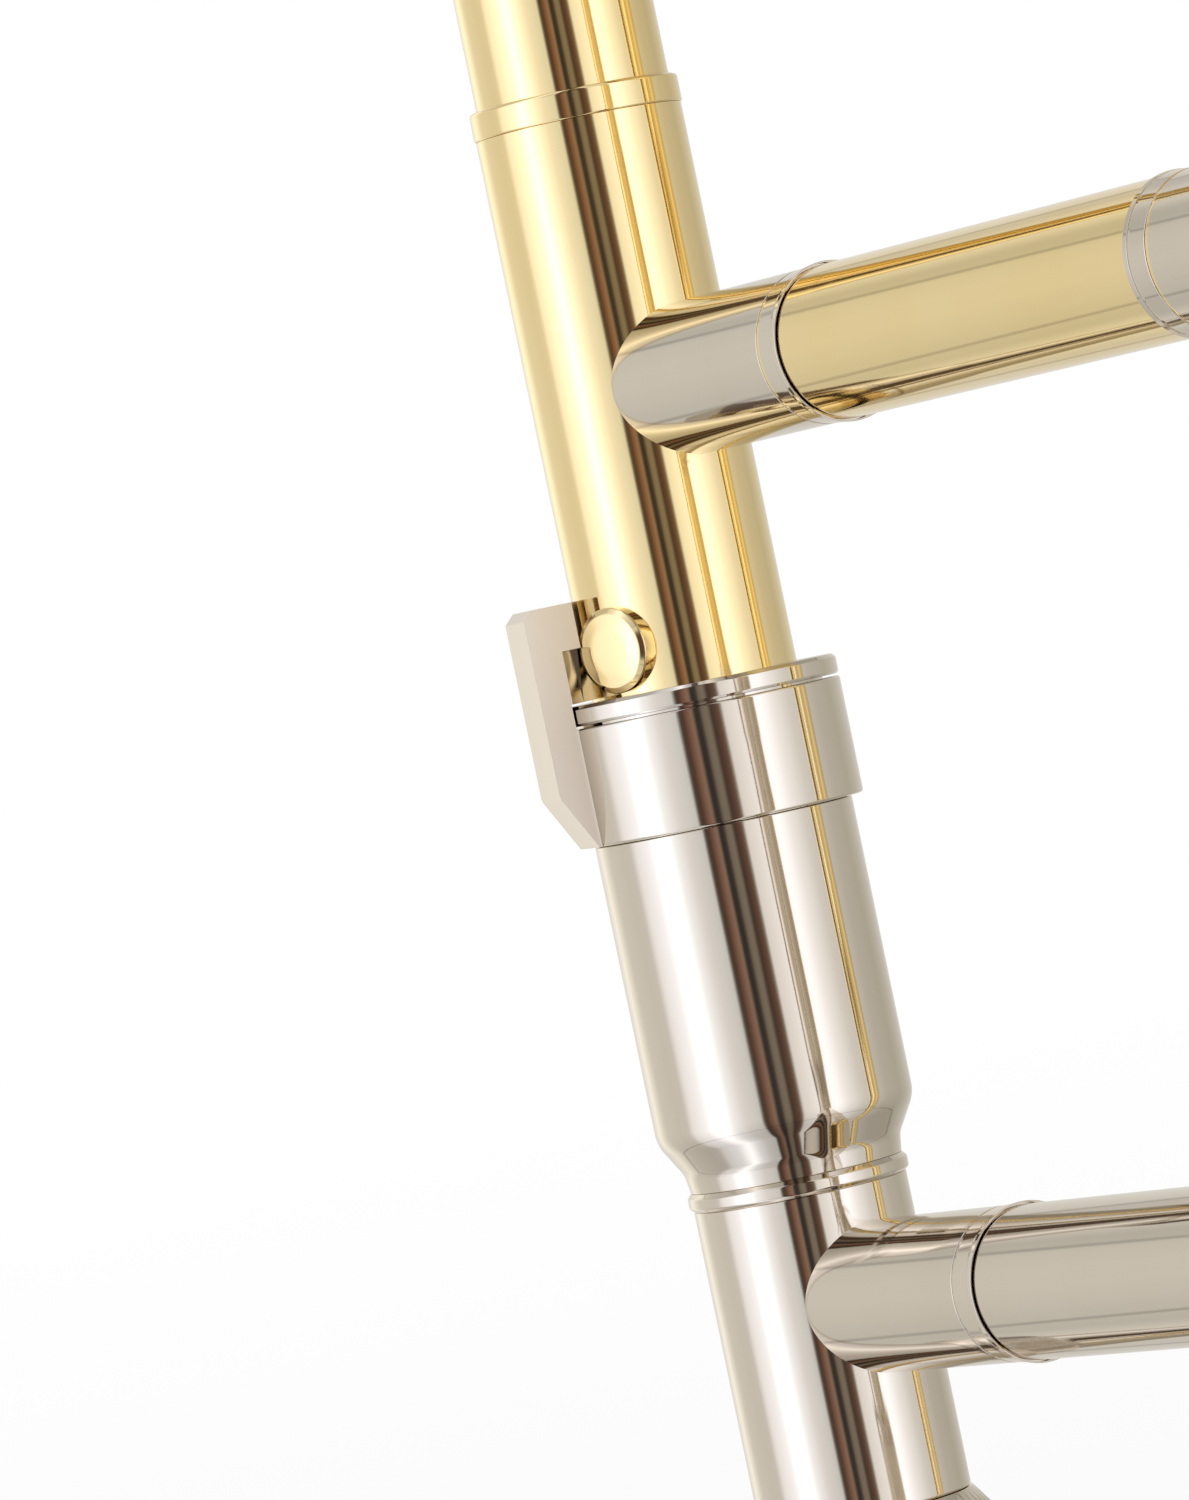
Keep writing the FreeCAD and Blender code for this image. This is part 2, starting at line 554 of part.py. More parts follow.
def water_key():
    """Drain nipple, sprung lever and its saddle, outside the bell-side leg near the crook."""
    outside = "crook_od / 2 + 0.5"
    arm = "-key_arm"
    band = tube("saddle_band", outside + " + 1", outside, "-4", "4")
    foot = doc.addObject("Part::Common", "saddle_foot")
    foot.Base = band
    foot.Tool = block("saddle_window", ("-14", "-5", "-4"), ("-5", "5", "4"))
    ears = []
    for number, start in enumerate(("-4.8", "3.4")):
        ear = block("saddle_ear%d" % number, ("-15.6", start, "-2.2"),
                    ("-7.2", start + " + 1.4", "2.2"))
        ears.append(ear)
    seat = cylinder("saddle_seat", outside, "20", z="-10")
    bare = less("saddle_bare", joined("saddle_whole", foot, *ears), seat)
    eye = cylinder("saddle_eye", "1", "20", direction=V(0, 1, 0), x=arm, y="-10")
    keep(less("saddle_drilled", bare, eye), "water_key_saddle", x=BELL_LEG, z="key_pivot")
    spout = turned("spout_turn", [
        ("1.9", "6"), ("4", "6"), ("4", "crook_od / 2 + 0.8"), ("3", "crook_od / 2 + 1.4"),
        ("3", "11.2"), ("1.9", "11.2")], across=True)
    keep(less("spout_seated", spout, cylinder("spout_seat", "crook_od / 2", "20", z="-10")),
         "water_key_nipple", x=BELL_LEG, z="key_hole", turn=180.0)
    drop = "key_hole - key_pivot"
    blade = flat_piece("lever_blade", "XZ_Plane", [
        ("-14.2", drop), ("-15.2", drop), ("-16.2", "8"), ("-16.2", "-4"), ("-21.6", "-19"),
        ("-22.2", "-30"), ("-20.7", "-30"), ("-20.2", "-19"), ("-14.2", "-4"), ("-12.6", "0"),
        ("-14.2", "6")], "3")
    cup = less("lever_cup_hollow",
               cylinder("lever_cup", "4.7", "2.2", direction=V(-1, 0, 0), x="-12.1", z=drop),
               cylinder("lever_cup_bore", "4", "1.1", direction=V(-1, 0, 0), x="-12.1", z=drop))
    touch = cylinder("lever_touch", "6", "1.5", direction=V(-1, 0, 0), x="-20.7", z="-27")
    hub = cylinder("lever_hub", "2.4", "6.6", direction=V(0, 1, 0), x=arm, y="-3.3")
    hole = cylinder("lever_eye", "1.08", "20", direction=V(0, 1, 0), x=arm, y="-10")
    lever = less("lever_drilled", joined("lever_whole", blade, cup, touch, hub), hole)
    keep(lever, "water_key_lever", x=BELL_LEG, z="key_pivot")
    keep(rod("cork_turn", "3.95", "11.25", "13.2", across=True), "water_key_cork",
         x=BELL_LEG, z="key_hole", turn=180.0)
    keep(turned("screw_turn", [
        ("0", "-5.2"), ("1", "-5.2"), ("1", "4.8"), ("1.9", "4.8"), ("1.9", "6"), ("0", "6")]),
        "water_key_screw", x=BELL_LEG + " - key_arm", z="key_pivot", turn=-90.0,
        about=V(1, 0, 0))
    coil = tube("spring_turn", "spring_od / 2", "spring_id / 2", "0", "spring_length")
    keep(coil, "water_key_spring", x=BELL_LEG + " - key_arm", y="-1.65", z="key_pivot",
         turn=90.0, about=V(1, 0, 0))


def bell():
    """The bell's flare and stem, on one curve that narrows from the rim, and the rolled rim."""
    mouth = size("rim_radius")
    depth = size("rim_height") - size("stem_end")
    lead = depth / ((mouth / size("stem_radius")) ** (1 / FLARE_POWER) - 1)
    seam = size("rim_height") - size("bell_seam")
    bell_piece("bell", lead, 0.0, seam)
    bell_piece("bell_stem", lead, seam, depth)
    bead = doc.addObject("Part::Torus", "rim_bead")
    bead.setExpression("Radius1", bound("rim_radius + 1.45"))
    bead.setExpression("Radius2", bound("1.6"))
    keep(bead, "bell_rim_wire", x=BELL_LEG, y="-bell_offset", z="rim_height - 1.6")


def bell_piece(label, lead, start, stop):
    """The bell between two distances in from the rim, turned from its smooth curve."""
    inner = []
    outer = []
    for step in range(FLARE_STEPS + 1):
        # Places crowd towards the rim, where the flare is quickest.
        share = (step / FLARE_STEPS) ** 2
        place = start + (stop - start) * share
        radius = size("rim_radius") * (lead / (lead + place)) ** FLARE_POWER
        slope = -FLARE_POWER * radius / (lead + place)
        lean = size("bell_wall") / math.hypot(1, slope)
        inner.append(V(radius, 0, size("rim_height") - place))
        outer.append(V(radius + lean, 0, size("rim_height") - place + lean * slope))
    if label == "bell_stem":
        outer[-1] = V(size("stem_radius") + size("bell_wall"), 0, size("stem_end"))
    inside = Part.BSplineCurve()
    inside.interpolate(inner)
    outside = Part.BSplineCurve()
    outside.interpolate(outer)
    edges = [inside.toShape(), Part.makeLine(inner[-1], outer[-1]), outside.toShape(),
             Part.makeLine(outer[0], inner[0])]
    face = Part.Face(Part.Wire(Part.__sortEdges__(edges)))
    flare = doc.addObject("Part::Feature", label + "_turn")
    flare.Shape = face.revolve(V(0, 0, 0), V(0, 0, 1), 360)
    keep(flare, label, x=BELL_LEG, y="-bell_offset")


def bell_section():
    """Neckpipe, tuning sleeves and the two stays between the neckpipe and the bell."""
    keep(tube("neckpipe_turn", "neckpipe_od / 2", "neckpipe_od / 2 - 0.8", "tenon_foot - 2",
              "stem_end"),
         "neckpipe", x=BELL_LEG)
    keep(turned("neck_sleeve", [
        ("neckpipe_od / 2", "stem_end + 12"), ("neck_sleeve_od / 2", "stem_end + 12"),
        ("neck_sleeve_od / 2", "tuning_foot"), ("neck_sleeve_od / 2 - 0.5", "tuning_foot"),
        ("neck_sleeve_od / 2 - 0.5", "stem_end - 0.5"),
        ("neckpipe_od / 2", "stem_end - 0.5")]),
        "tuning_sleeve_neck_side", x=BELL_LEG)
    keep(turned("bell_sleeve", [
        ("stem_sleeve_od / 2 + 0.2", "stem_end + 12"),
        ("stem_sleeve_od / 2 + 0.7", "stem_end + 12"),
        ("stem_sleeve_od / 2 + 0.7", "stem_end - 1"),
        ("stem_sleeve_od / 2", "stem_end - 3"),
        ("stem_sleeve_od / 2", "tuning_foot"),
        ("stem_sleeve_od / 2 - 0.5", "tuning_foot"),
        ("stem_sleeve_od / 2 - 0.5", "stem_end - 0.3"),
        ("stem_sleeve_od / 2 + 0.2", "stem_end - 0.3")]),
        "tuning_sleeve_bell_side", x=BELL_LEG, y="-bell_offset")
    stay("front_bell_stay", "neckpipe_od / 2", "12.75", "-110")
    stay("rear_bell_stay", "neck_sleeve_od / 2", "stem_sleeve_od / 2", "stem_end - 22")


def stay(name, near, far, height):
    """A thin cross-bar with a foot at each end, from the neckpipe's side to the bell's."""
    radius = "stay_od / 2"
    foot = "stay_foot_od / 2"
    bar = turned(name + "_turn", [
        ("0", near + " - 4"), (foot, near + " - 4"), (foot, near + " + 1.2"),
        (radius, near + " + 4"), (radius, "bell_offset / 2 - 4"),
        (radius + " + 1.2", "bell_offset / 2 - 2.5"), (radius + " + 1.2", "bell_offset / 2 + 2.5"),
        (radius, "bell_offset / 2 + 4"), (radius, "bell_offset - (%s) - 4" % far),
        (foot, "bell_offset - (%s) - 1.2" % far), (foot, "bell_offset - (%s) + 4" % far),
        ("0", "bell_offset - (%s) + 4" % far)], across=True)
    first = cylinder(name + "_near", near, "40", z="-20")
    second = cylinder(name + "_far", far, "40", x="bell_offset", z="-20")
    shaped = less(name + "_shaped", less(name + "_saddled", bar, first), second)
    keep(shaped, name, x=BELL_LEG, z=height, turn=-90.0)


def tuning_slide():
    """The sliding bow at the back of the bell section, its pull brace and its balance weight."""
    start = "bow_turn + 14"
    for name, side, y, bore, outside, collar in (
            ("neck", "neck_side", "0", "8.0", "8.48", "9.9"),
            ("stem", "bell_side", "-bell_offset", "9.2", "9.72", "10.7")):
        keep(turned(name + "_leg", [
            (bore, "stem_end - 12"), (outside, "stem_end - 12"), (outside, "tuning_foot - 3"),
            (collar + " + 0.3", "tuning_foot - 3"), (collar + " + 0.3", "tuning_foot - 6"),
            (collar, "tuning_foot - 6.6"), (collar, start + " - 5"),
            (collar + " + 0.3", start + " - 5.6"), (collar + " + 0.3", start + " - 8"),
            ("bow_od / 2", start + " - 8"), ("bow_od / 2", start), (bore, start)]),
            "tuning_leg_" + side, x=BELL_LEG, y=y)
    wall = bow_solid("bow_outside", "bell_offset", "bow_od / 2", "14")
    bore = bow_solid("bow_inside", "bell_offset", "bow_od / 2 - 0.8", "14")
    bow = less("bow_shell", wall, bore)
    keep(bow, "tuning_bow", x=BELL_LEG, y="-bell_offset / 2", z=start)
    bow.Placement.Rotation = FreeCAD.Rotation(V(0, 0, 1), 90.0) * FreeCAD.Rotation(V(1, 0, 0), 180.0)
    stay("tuning_stay", "9.9", "10.7", "tuning_foot - 17")
    weight = softened(turned("weight_turn", [
        ("0", "-6.5"), ("20", "-6.5"), ("20", "6.5"), ("0", "6.5")]), 2.0,
        [("20", "-6.5"), ("20", "6.5")])
    eye = cylinder("weight_eye", "4.4", "44", direction=V(0, 1, 0), y="-22")
    keep(less("weight_bored", weight, eye), "balance_weight", x=BELL_LEG,
         y="-bell_offset / 2", z="tuning_foot - 17", turn=90.0, about=V(0, 1, 0))


def check_and_write():
    """Recompute, refuse anything failed or empty, then write one file per sub-part."""
    doc.recompute()
    for thing in doc.Objects:
        if "Invalid" in thing.State or "Error" in thing.State:
            raise RuntimeError("%s failed: %s" % (thing.Name, thing.State))
    os.makedirs("parts", exist_ok=True)
    for thing in made:
        shape = thing.Shape
        if shape.isNull() or not shape.isValid() or shape.Volume < SLACK:
            raise RuntimeError("%s has no valid shape" % thing.Label)
        shape.exportStep("parts/%s.step" % thing.Label)
        print("%-36s %9.1f mm3  solids %d" % (thing.Label, shape.Volume, len(shape.Solids)))
    print("sub-parts:", len(made))


fill_sheet()
inner_slide()
slide_lock()
lock_stud()
brace("inner", "grip_od / 2", "0")
brace("outer", "sleeve_od / 2", "brace_height")
receiver_end()
bell_coupling()
outer_slide()
crook()
water_key()
bell()
bell_section()
tuning_slide()
check_and_write()
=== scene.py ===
"""Slide trombone: fine turned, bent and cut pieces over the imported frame, in a white studio."""
import json
import math

import bmesh
import bpy
import numpy as np
from mathutils import Matrix, Vector

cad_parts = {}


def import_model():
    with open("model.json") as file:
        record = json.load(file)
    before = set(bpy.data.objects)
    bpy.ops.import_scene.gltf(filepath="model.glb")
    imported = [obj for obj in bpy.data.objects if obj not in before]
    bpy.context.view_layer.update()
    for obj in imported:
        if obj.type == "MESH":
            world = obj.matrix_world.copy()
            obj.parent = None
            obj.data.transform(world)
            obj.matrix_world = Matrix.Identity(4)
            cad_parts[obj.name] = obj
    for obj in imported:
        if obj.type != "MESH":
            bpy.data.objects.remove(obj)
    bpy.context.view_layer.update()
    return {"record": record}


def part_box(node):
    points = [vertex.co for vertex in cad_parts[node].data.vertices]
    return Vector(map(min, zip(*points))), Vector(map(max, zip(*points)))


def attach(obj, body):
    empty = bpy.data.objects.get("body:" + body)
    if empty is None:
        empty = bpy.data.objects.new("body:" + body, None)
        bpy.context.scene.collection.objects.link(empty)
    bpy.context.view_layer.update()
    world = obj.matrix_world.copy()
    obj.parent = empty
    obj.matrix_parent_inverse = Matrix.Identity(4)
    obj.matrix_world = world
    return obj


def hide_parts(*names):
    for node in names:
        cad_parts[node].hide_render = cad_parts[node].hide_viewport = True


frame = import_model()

MM = 0.001
RECORD = frame["record"]
BODY_OF = {node: body for body, nodes in RECORD["behaviour"]["bodies"].items() for node in nodes}
SLOT_OF = {part["node"]: part["material_slot"] for part in RECORD["subparts"]}


def middle(node):
    """Middle of a node's box, in millimetres."""
    low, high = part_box(node)
    return (Vector(low) + Vector(high)) / 2 / MM


def low_high(node, axis=2):
    """A node's lowest and highest place along one axis, in millimetres."""
    low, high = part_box(node)
    return low[axis] / MM, high[axis] / MM


def wide(node, axis=0):
    """Half of a node's size along one axis, in millimetres."""
    low, high = low_high(node, axis)
    return (high - low) / 2


SIDES = ("bell_side", "mouthpiece_side")
LEG_X = {side: middle("inner_tube_" + side).x for side in SIDES}
BELL_AXIS_Y = middle("bell_rim_wire").y
BRACE_UP = middle("outer_brace_bar").z
SEAM_UP = 60.0           # height of the seam between the bell and its stem
LEG_SPACING = LEG_X["mouthpiece_side"] - LEG_X["bell_side"]


# ---------------------------------------------------------------- materials

def new_material(name, colour, metallic, roughness):
    """A material and its shader node."""
    material = bpy.data.materials.new(name)
    material.use_nodes = True
    shader = material.node_tree.nodes["Principled BSDF"]
    shader.inputs["Base Color"].default_value = (*colour, 1)
    shader.inputs["Metallic"].default_value = metallic
    shader.inputs["Roughness"].default_value = roughness
    return material, shader


def add(tree, kind, **settings):
    """A new shader node with its inputs or properties set."""
    node = tree.nodes.new(kind)
    for name, setting in settings.items():
        if name in node.inputs:
            node.inputs[name].default_value = setting
        else:
            setattr(node, name, setting)
    return node


def object_place(tree, scale):
    """Object coordinates in metres, stretched by a scale along each axis."""
    place = add(tree, "ShaderNodeTexCoord")
    stretch = add(tree, "ShaderNodeMapping")
    stretch.inputs["Scale"].default_value = scale
    tree.links.new(place.outputs["Object"], stretch.inputs["Vector"])
    return stretch.outputs["Vector"]


def noise(tree, vector, scale, detail=2.0):
    node = add(tree, "ShaderNodeTexNoise", Scale=scale, Detail=detail)
    tree.links.new(vector, node.inputs["Vector"])
    return node.outputs["Fac"]


def ramp(tree, source, stops):
    """Colours along a value from 0 to 1."""
    node = add(tree, "ShaderNodeValToRGB")
    elements = node.color_ramp.elements
    while len(elements) > 1:
        elements.remove(elements[-1])
    for number, (place, colour) in enumerate(stops):
        element = elements[0] if number == 0 else elements.new(place)
        element.position = place
        element.color = (*colour, 1)
    tree.links.new(source, node.inputs["Fac"])
    return node.outputs["Color"]


def metal(name, colour, tint, roughness, haze, coat=0.0, scratch=0.02):
    """Polished metal: faint tarnish clouds, polishing haze and hairline scratches."""
    material, shader = new_material(name, colour, 1.0, roughness)
    tree = material.node_tree
    clouds = noise(tree, object_place(tree, (1, 1, 0.4)), 60, 3)
    base = ramp(tree, clouds, [(0.35, colour), (0.75, tint)])
    tree.links.new(base, shader.inputs["Base Color"])
    smear = noise(tree, object_place(tree, (1, 1, 0.25)), 140, 4)
    rough = ramp(tree, smear, [(0.3, (roughness,) * 3), (0.8, (roughness + haze,) * 3)])
    tree.links.new(rough, shader.inputs["Roughness"])
    hair = noise(tree, object_place(tree, (1, 1, 0.03)), 2500, 2)
    bump = add(tree, "ShaderNodeBump", Strength=scratch, Distance=0.00002)
    tree.links.new(hair, bump.inputs["Height"])
    tree.links.new(bump.outputs["Normal"], shader.inputs["Normal"])
    if coat:
        shader.inputs["Coat Weight"].default_value = coat
        shader.inputs["Coat Roughness"].default_value = 0.03
    return material


def soft(name, colour, tint, scale, depth, roughness, sheen=0.0):
    """Rubber, felt or cork: two tones in clumps, with the same clumps in relief."""
    material, shader = new_material(name, colour, 0.0, roughness)
    tree = material.node_tree
    clumps = noise(tree, object_place(tree, (1, 1, 1)), scale, 6)
    tree.links.new(ramp(tree, clumps, [(0.35, colour), (0.68, tint)]),
                   shader.inputs["Base Color"])
    bump = add(tree, "ShaderNodeBump", Strength=0.6, Distance=depth)
    tree.links.new(clumps, bump.inputs["Height"])
    tree.links.new(bump.outputs["Normal"], shader.inputs["Normal"])
    shader.inputs["Sheen Weight"].default_value = sheen
    return material


MATERIALS = {
    "lacquered_brass": metal("lacquered brass", (0.93, 0.75, 0.40), (0.91, 0.71, 0.34),
                             0.05, 0.04, coat=0.4),
    "nickel_silver": metal("nickel silver", (0.73, 0.665, 0.57), (0.70, 0.63, 0.53),
                           0.045, 0.04),
    "satin": metal("satin nickel silver", (0.68, 0.615, 0.53), (0.65, 0.585, 0.50),
                   0.17, 0.06, scratch=0.05),
    "silver_plate": metal("silver plate", (0.90, 0.88, 0.84), (0.84, 0.81, 0.75), 0.05, 0.06),
    "chromed_tube": metal("chromed tube", (0.66, 0.67, 0.68), (0.62, 0.62, 0.62), 0.08, 0.08),
    "spring_steel": metal("spring steel", (0.42, 0.42, 0.44), (0.36, 0.35, 0.34), 0.25, 0.1),
    "rubber_tip": soft("black rubber", (0.012, 0.012, 0.012), (0.03, 0.03, 0.03),
                       900, 0.00008, 0.55),
    "felt": soft("pressed felt", (0.78, 0.74, 0.62), (0.6, 0.56, 0.45), 1500, 0.0003, 0.95, 0.4),
    "cork": soft("cork", (0.50, 0.33, 0.19), (0.20, 0.11, 0.05), 1100, 0.0002, 0.8),
}


# ---------------------------------------------------------------- mesh tools

def unit(vector):
    return vector / max(np.linalg.norm(vector), 1e-12)


def softened_outline(corners, steps=5, least=0.04):
    """Round the corners of an outline.

    A corner is (radius, height) or (radius, height, fillet).  The result is a list of
    (point, normal) rows that run anticlockwise, so the normals point out of the metal.
    """
    spots = [np.array(corner[:2], float) for corner in corners]
    fillets = [corner[2] if len(corner) > 2 else least for corner in corners]
    count = len(spots)
    rows = []
    for i, spot in enumerate(spots):
        before = spot - spots[i - 1]
        after = spots[(i + 1) % count] - spot
        way_in, way_out = unit(before), unit(after)
        normal_in = np.array([way_in[1], -way_in[0]])
        normal_out = np.array([way_out[1], -way_out[0]])
        if spot[0] < 1e-9:
            normal = normal_out if spots[i - 1][0] < 1e-9 else normal_in
            rows.append((spot, normal))
            continue
        turn = math.atan2(way_in[0] * way_out[1] - way_in[1] * way_out[0], way_in @ way_out)
        if abs(turn) < 0.01:
            rows.append((spot, unit(normal_in + normal_out)))
            continue
        room = 0.48 * min(np.linalg.norm(before), np.linalg.norm(after))
        cut = min(fillets[i] * math.tan(abs(turn) / 2), room)
        radius = cut / math.tan(abs(turn) / 2)
        side = math.copysign(1, turn)
        centre = spot - way_in * cut - normal_in * radius * side
        pieces = max(2, math.ceil(steps * abs(turn) / (math.pi / 2)))
        if fillets[i] > 1.5:
            pieces *= 3
        for k in range(pieces + 1):
            angle = turn * k / pieces
            normal = np.array([normal_in[0] * math.cos(angle) - normal_in[1] * math.sin(angle),
                               normal_in[0] * math.sin(angle) + normal_in[1] * math.cos(angle)])
            rows.append((centre + normal * radius * side, normal))
    return rows


def linked(name, data):
    """A new object in the scene."""
    thing = bpy.data.objects.new(name, data)
    bpy.context.scene.collection.objects.link(thing)
    return thing


def bevelled(piece, edge, segments, angle):
    """Round a piece's edges (in millimetres) and bake all its modifiers into its mesh."""
    bevel = piece.modifiers.new("edges", "BEVEL")
    bevel.width = edge * MM
    bevel.segments = segments
    bevel.limit_method = "ANGLE"
    bevel.angle_limit = math.radians(angle)
    bevel.harden_normals = True
    bpy.context.view_layer.update()
    evaluated = piece.evaluated_get(bpy.context.evaluated_depsgraph_get())
    solid = bpy.data.meshes.new_from_object(evaluated)
    piece.modifiers.clear()
    piece.data = solid
    return solid


def mesh_piece(name, points, faces, normals=None, smooth=True):
    """A piece from points in millimetres, with its own shading normals where they are given."""
    mesh = bpy.data.meshes.new(name)
    mesh.from_pydata((np.asarray(points) * MM).tolist(), [], faces)
    mesh.validate()
    mesh.shade_smooth() if smooth else mesh.shade_flat()
    if normals is not None:
        mesh.normals_split_custom_set_from_vertices(np.asarray(normals).tolist())
    return linked(name, mesh)


def warped(points, normals, warp):
    """Move points by a warp and turn their normals with it."""
    step = 1e-3
    moved = warp(points)
    columns = [(warp(points + step * np.eye(3)[axis]) - moved) / step for axis in range(3)]
    jacobian = np.stack(columns, axis=2)
    turned = np.linalg.solve(np.transpose(jacobian, (0, 2, 1)), normals[:, :, None])[:, :, 0]
    return moved, turned / np.linalg.norm(turned, axis=1, keepdims=True)


def placed(points, normals, matrix):
    """Move points and normals by a rigid matrix given in millimetres."""
    spin = np.array(matrix.to_3x3())
    shift = np.array(matrix.translation)
    return points @ spin.T + shift, normals @ spin.T


def turned_parts(corners, around=128, steps=5, warp=None, matrix=None):
    """Points, faces and normals of an outline turned about Z."""
    rows = softened_outline(corners, steps)
    points, normals, rings = [], [], []
    angles = np.linspace(0, 2 * math.pi, around, endpoint=False)
    for (radius, height), (out, up) in rows:
        first = len(points)
        if radius < 1e-9:
            points.append((0, 0, height))
            normals.append((0, 0, math.copysign(1, up)))
            rings.append([first] * around)
            continue
        for angle in angles:
            cos, sin = math.cos(angle), math.sin(angle)
            points.append((radius * cos, radius * sin, height))
            normals.append((out * cos, out * sin, up))
        rings.append(list(range(first, first + around)))
    faces = []
    for i, ring in enumerate(rings):
        above = rings[(i + 1) % len(rings)]
        if ring[0] == ring[1] and above[0] == above[1]:
            continue
        for j in range(around):
            k = (j + 1) % around
            loop = [ring[j], ring[k], above[k], above[j]]
            faces.append(list(dict.fromkeys(loop)))
    points, normals = np.array(points, float), np.array(normals, float)
    if warp is not None:
        points, normals = warped(points, normals, warp)
    if matrix is not None:
        points, normals = placed(points, normals, matrix)
    return points, faces, normals


def stand_for(piece, node, finish=None):
    """Let a fine piece take a CAD node's place, body, slot and material."""
    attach(piece, BODY_OF[node])
    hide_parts(node)
    piece.data.materials.append(MATERIALS[finish or SLOT_OF[node]])
    return piece


def joined(node, *parts):
    """One piece from several sets of points, faces and normals."""
    points, faces, normals = [], [], []
    for spots, loops, shading in parts:
        shift = sum(len(p) for p in points)
        points.append(spots)
        normals.append(shading)
        faces.extend([v + shift for v in loop] for loop in loops)
    piece = mesh_piece(node + "_fine", np.concatenate(points), faces, np.concatenate(normals))
    return stand_for(piece, node)


def at(x=0.0, y=0.0, z=0.0):
    return Matrix.Translation((x, y, z))


def lying(direction):
    """Turns +Z to a direction."""
    return Vector(direction).to_track_quat("Z", "Y").to_matrix().to_4x4()


def turned(node, corners, matrix=None, around=128, steps=5, warp=None):
    """A CAD node's fine piece, made of one outline turned about Z."""
    return joined(node, turned_parts(corners, around, steps, warp, matrix))


def tube_corners(outside, inside, foot, top, lip=0.12):
    """Outline of a plain tube with rounded lips."""
    return [(outside, foot, lip), (outside, top, lip), (inside, top, lip), (inside, foot, lip)]


# ---------------------------------------------------------------- hand slide

OUTER_R = wide("outer_tube_bell_side")
SLEEVE_R = wide("oversleeve_bell_side")
INNER_R = wide("inner_tube_bell_side")
GRIP_R = wide("grip_tube_bell_side")
BARREL_R = wide("cork_barrel_bell_side")
RING_R = wide("slide_lock_ring")
RETAINER_WALL = 1.33
WALL = 0.3


def leg(side):
    """The place of one leg of the slide."""
    return at(LEG_X[side])


def inner_slide():
    for side in SIDES:
        foot, top = low_high("inner_tube_" + side)
        turned("inner_tube_" + side, tube_corners(INNER_R, INNER_R - WALL, foot, top), leg(side))
        name = "stocking_" + side
        foot, top = low_high(name)
        radius = wide(name)
        turned(name, [(radius, foot, 0.2), (radius, top, 0.3), (INNER_R, top), (INNER_R, foot)],
               leg(side))
        name = "grip_tube_" + side
        foot, top = low_high(name)
        turned(name, [(GRIP_R, foot, 0.3), (GRIP_R, top, 0.1), (INNER_R, top), (INNER_R, foot)],
               leg(side))
        name = "barrel_felt_" + side
        foot, top = low_high(name)
        turned(name, tube_corners(wide(name), INNER_R + 0.1, foot, top, 0.5), leg(side))


def neck_and_barrel():
    for side in SIDES:
        name = "neck_bead_" + side
        foot, top = low_high(name)
        radius = wide(name)
        turned(name, [(radius - 0.35, foot, 0.1), (radius, foot + 0.3, 0.25),
                      (radius, top - 0.4, 0.25), (radius - 0.35, top, 0.1),
                      (INNER_R, top), (INNER_R, foot)], leg(side), around=160)
        name = "cork_barrel_" + side
        foot, top = low_high(name)
        seat = top - 11.3
        seat_radius = wide("lock_retaining_ring") - RETAINER_WALL
        turned(name, [
            (GRIP_R - 0.05, foot, 0.1),
            (GRIP_R + 0.15, foot + 1.5, 1.8),
            (BARREL_R, foot + 4.3, 3.2),
            (BARREL_R, seat, 0.1),
            (seat_radius, seat, 0.05),
            (seat_radius, top, 0.1),
            (8.95, top, 0.1),
            (8.95, foot + 6.5, 1),
            (INNER_R, foot + 6.5),
            (INNER_R, foot),
        ], leg(side), around=160, steps=8)


def lock_and_rings():
    lock_leg = leg("mouthpiece_side")
    foot, top = low_high("slide_lock_ring")
    bore = RING_R - 1.27
    turned("slide_lock_ring", [(RING_R, foot, 0.22), (RING_R, top, 0.2), (bore, top, 0.1),
                               (bore, foot, 0.1)], lock_leg, around=192)
    foot, top = low_high("lock_retaining_ring")
    turned("lock_retaining_ring", [
        (RING_R - 0.12, foot, 0.1), (RING_R, foot + 0.22, 0.12), (RING_R, top - 0.3, 0.12),
        (RING_R - 0.28, top, 0.12), (RING_R - RETAINER_WALL, top, 0.1),
        (RING_R - RETAINER_WALL, foot, 0.05)], lock_leg, around=192)
    foot, top = low_high("barrel_end_ring")
    outside = wide("barrel_end_ring")
    turned("barrel_end_ring", [
        (outside, foot, 0.2), (outside, top - 2.1, 0.1), (outside - 0.25, top - 2.0, 0.05),
        (outside - 0.25, top - 1.75, 0.05), (outside, top - 1.65, 0.1), (outside, top, 0.25),
        (10, top, 0.1), (10, foot, 0.1)], leg("bell_side"), around=160)


STUD_AZIMUTH = math.radians(104.5)
STUD_UP = middle("lock_stud").z
STUD_R = 3.4
STUD_NECK = 8.98         # reach of the stud's straight side from the middle of the leg
HOOK_AZIMUTH = math.radians(74)
HOOK_HALF = 2.35         # half of the hook's width
HOOK_REACH = 13.7        # from the middle of the leg
HOOK_BORE = 8.6          # clears the sleeve
SLOT_WALL = 3.6          # from the stud's middle to the wall beside it
SLOT_ROOF = 0.75         # from the stud's middle up to the top of the open slot
LIP_WALL = 2.8           # from the stud's middle to the end of the lip
LIP_UNDER = 9.38         # the lip's underside, from the middle of the leg


def saddle(tube_radius, sink=0.3, until=14.0):
    """Bends a disc end that starts at height 0 down onto a tube that runs along local X."""
    def warp(points):
        moved = points.copy()
        drop = tube_radius - np.sqrt(np.maximum(tube_radius ** 2 - points[:, 1] ** 2, 0.01))
        fade = np.clip((until - points[:, 2]) / (until - tube_radius), 0, 1)
        moved[:, 2] -= (drop + sink) * fade
        return moved
    return warp


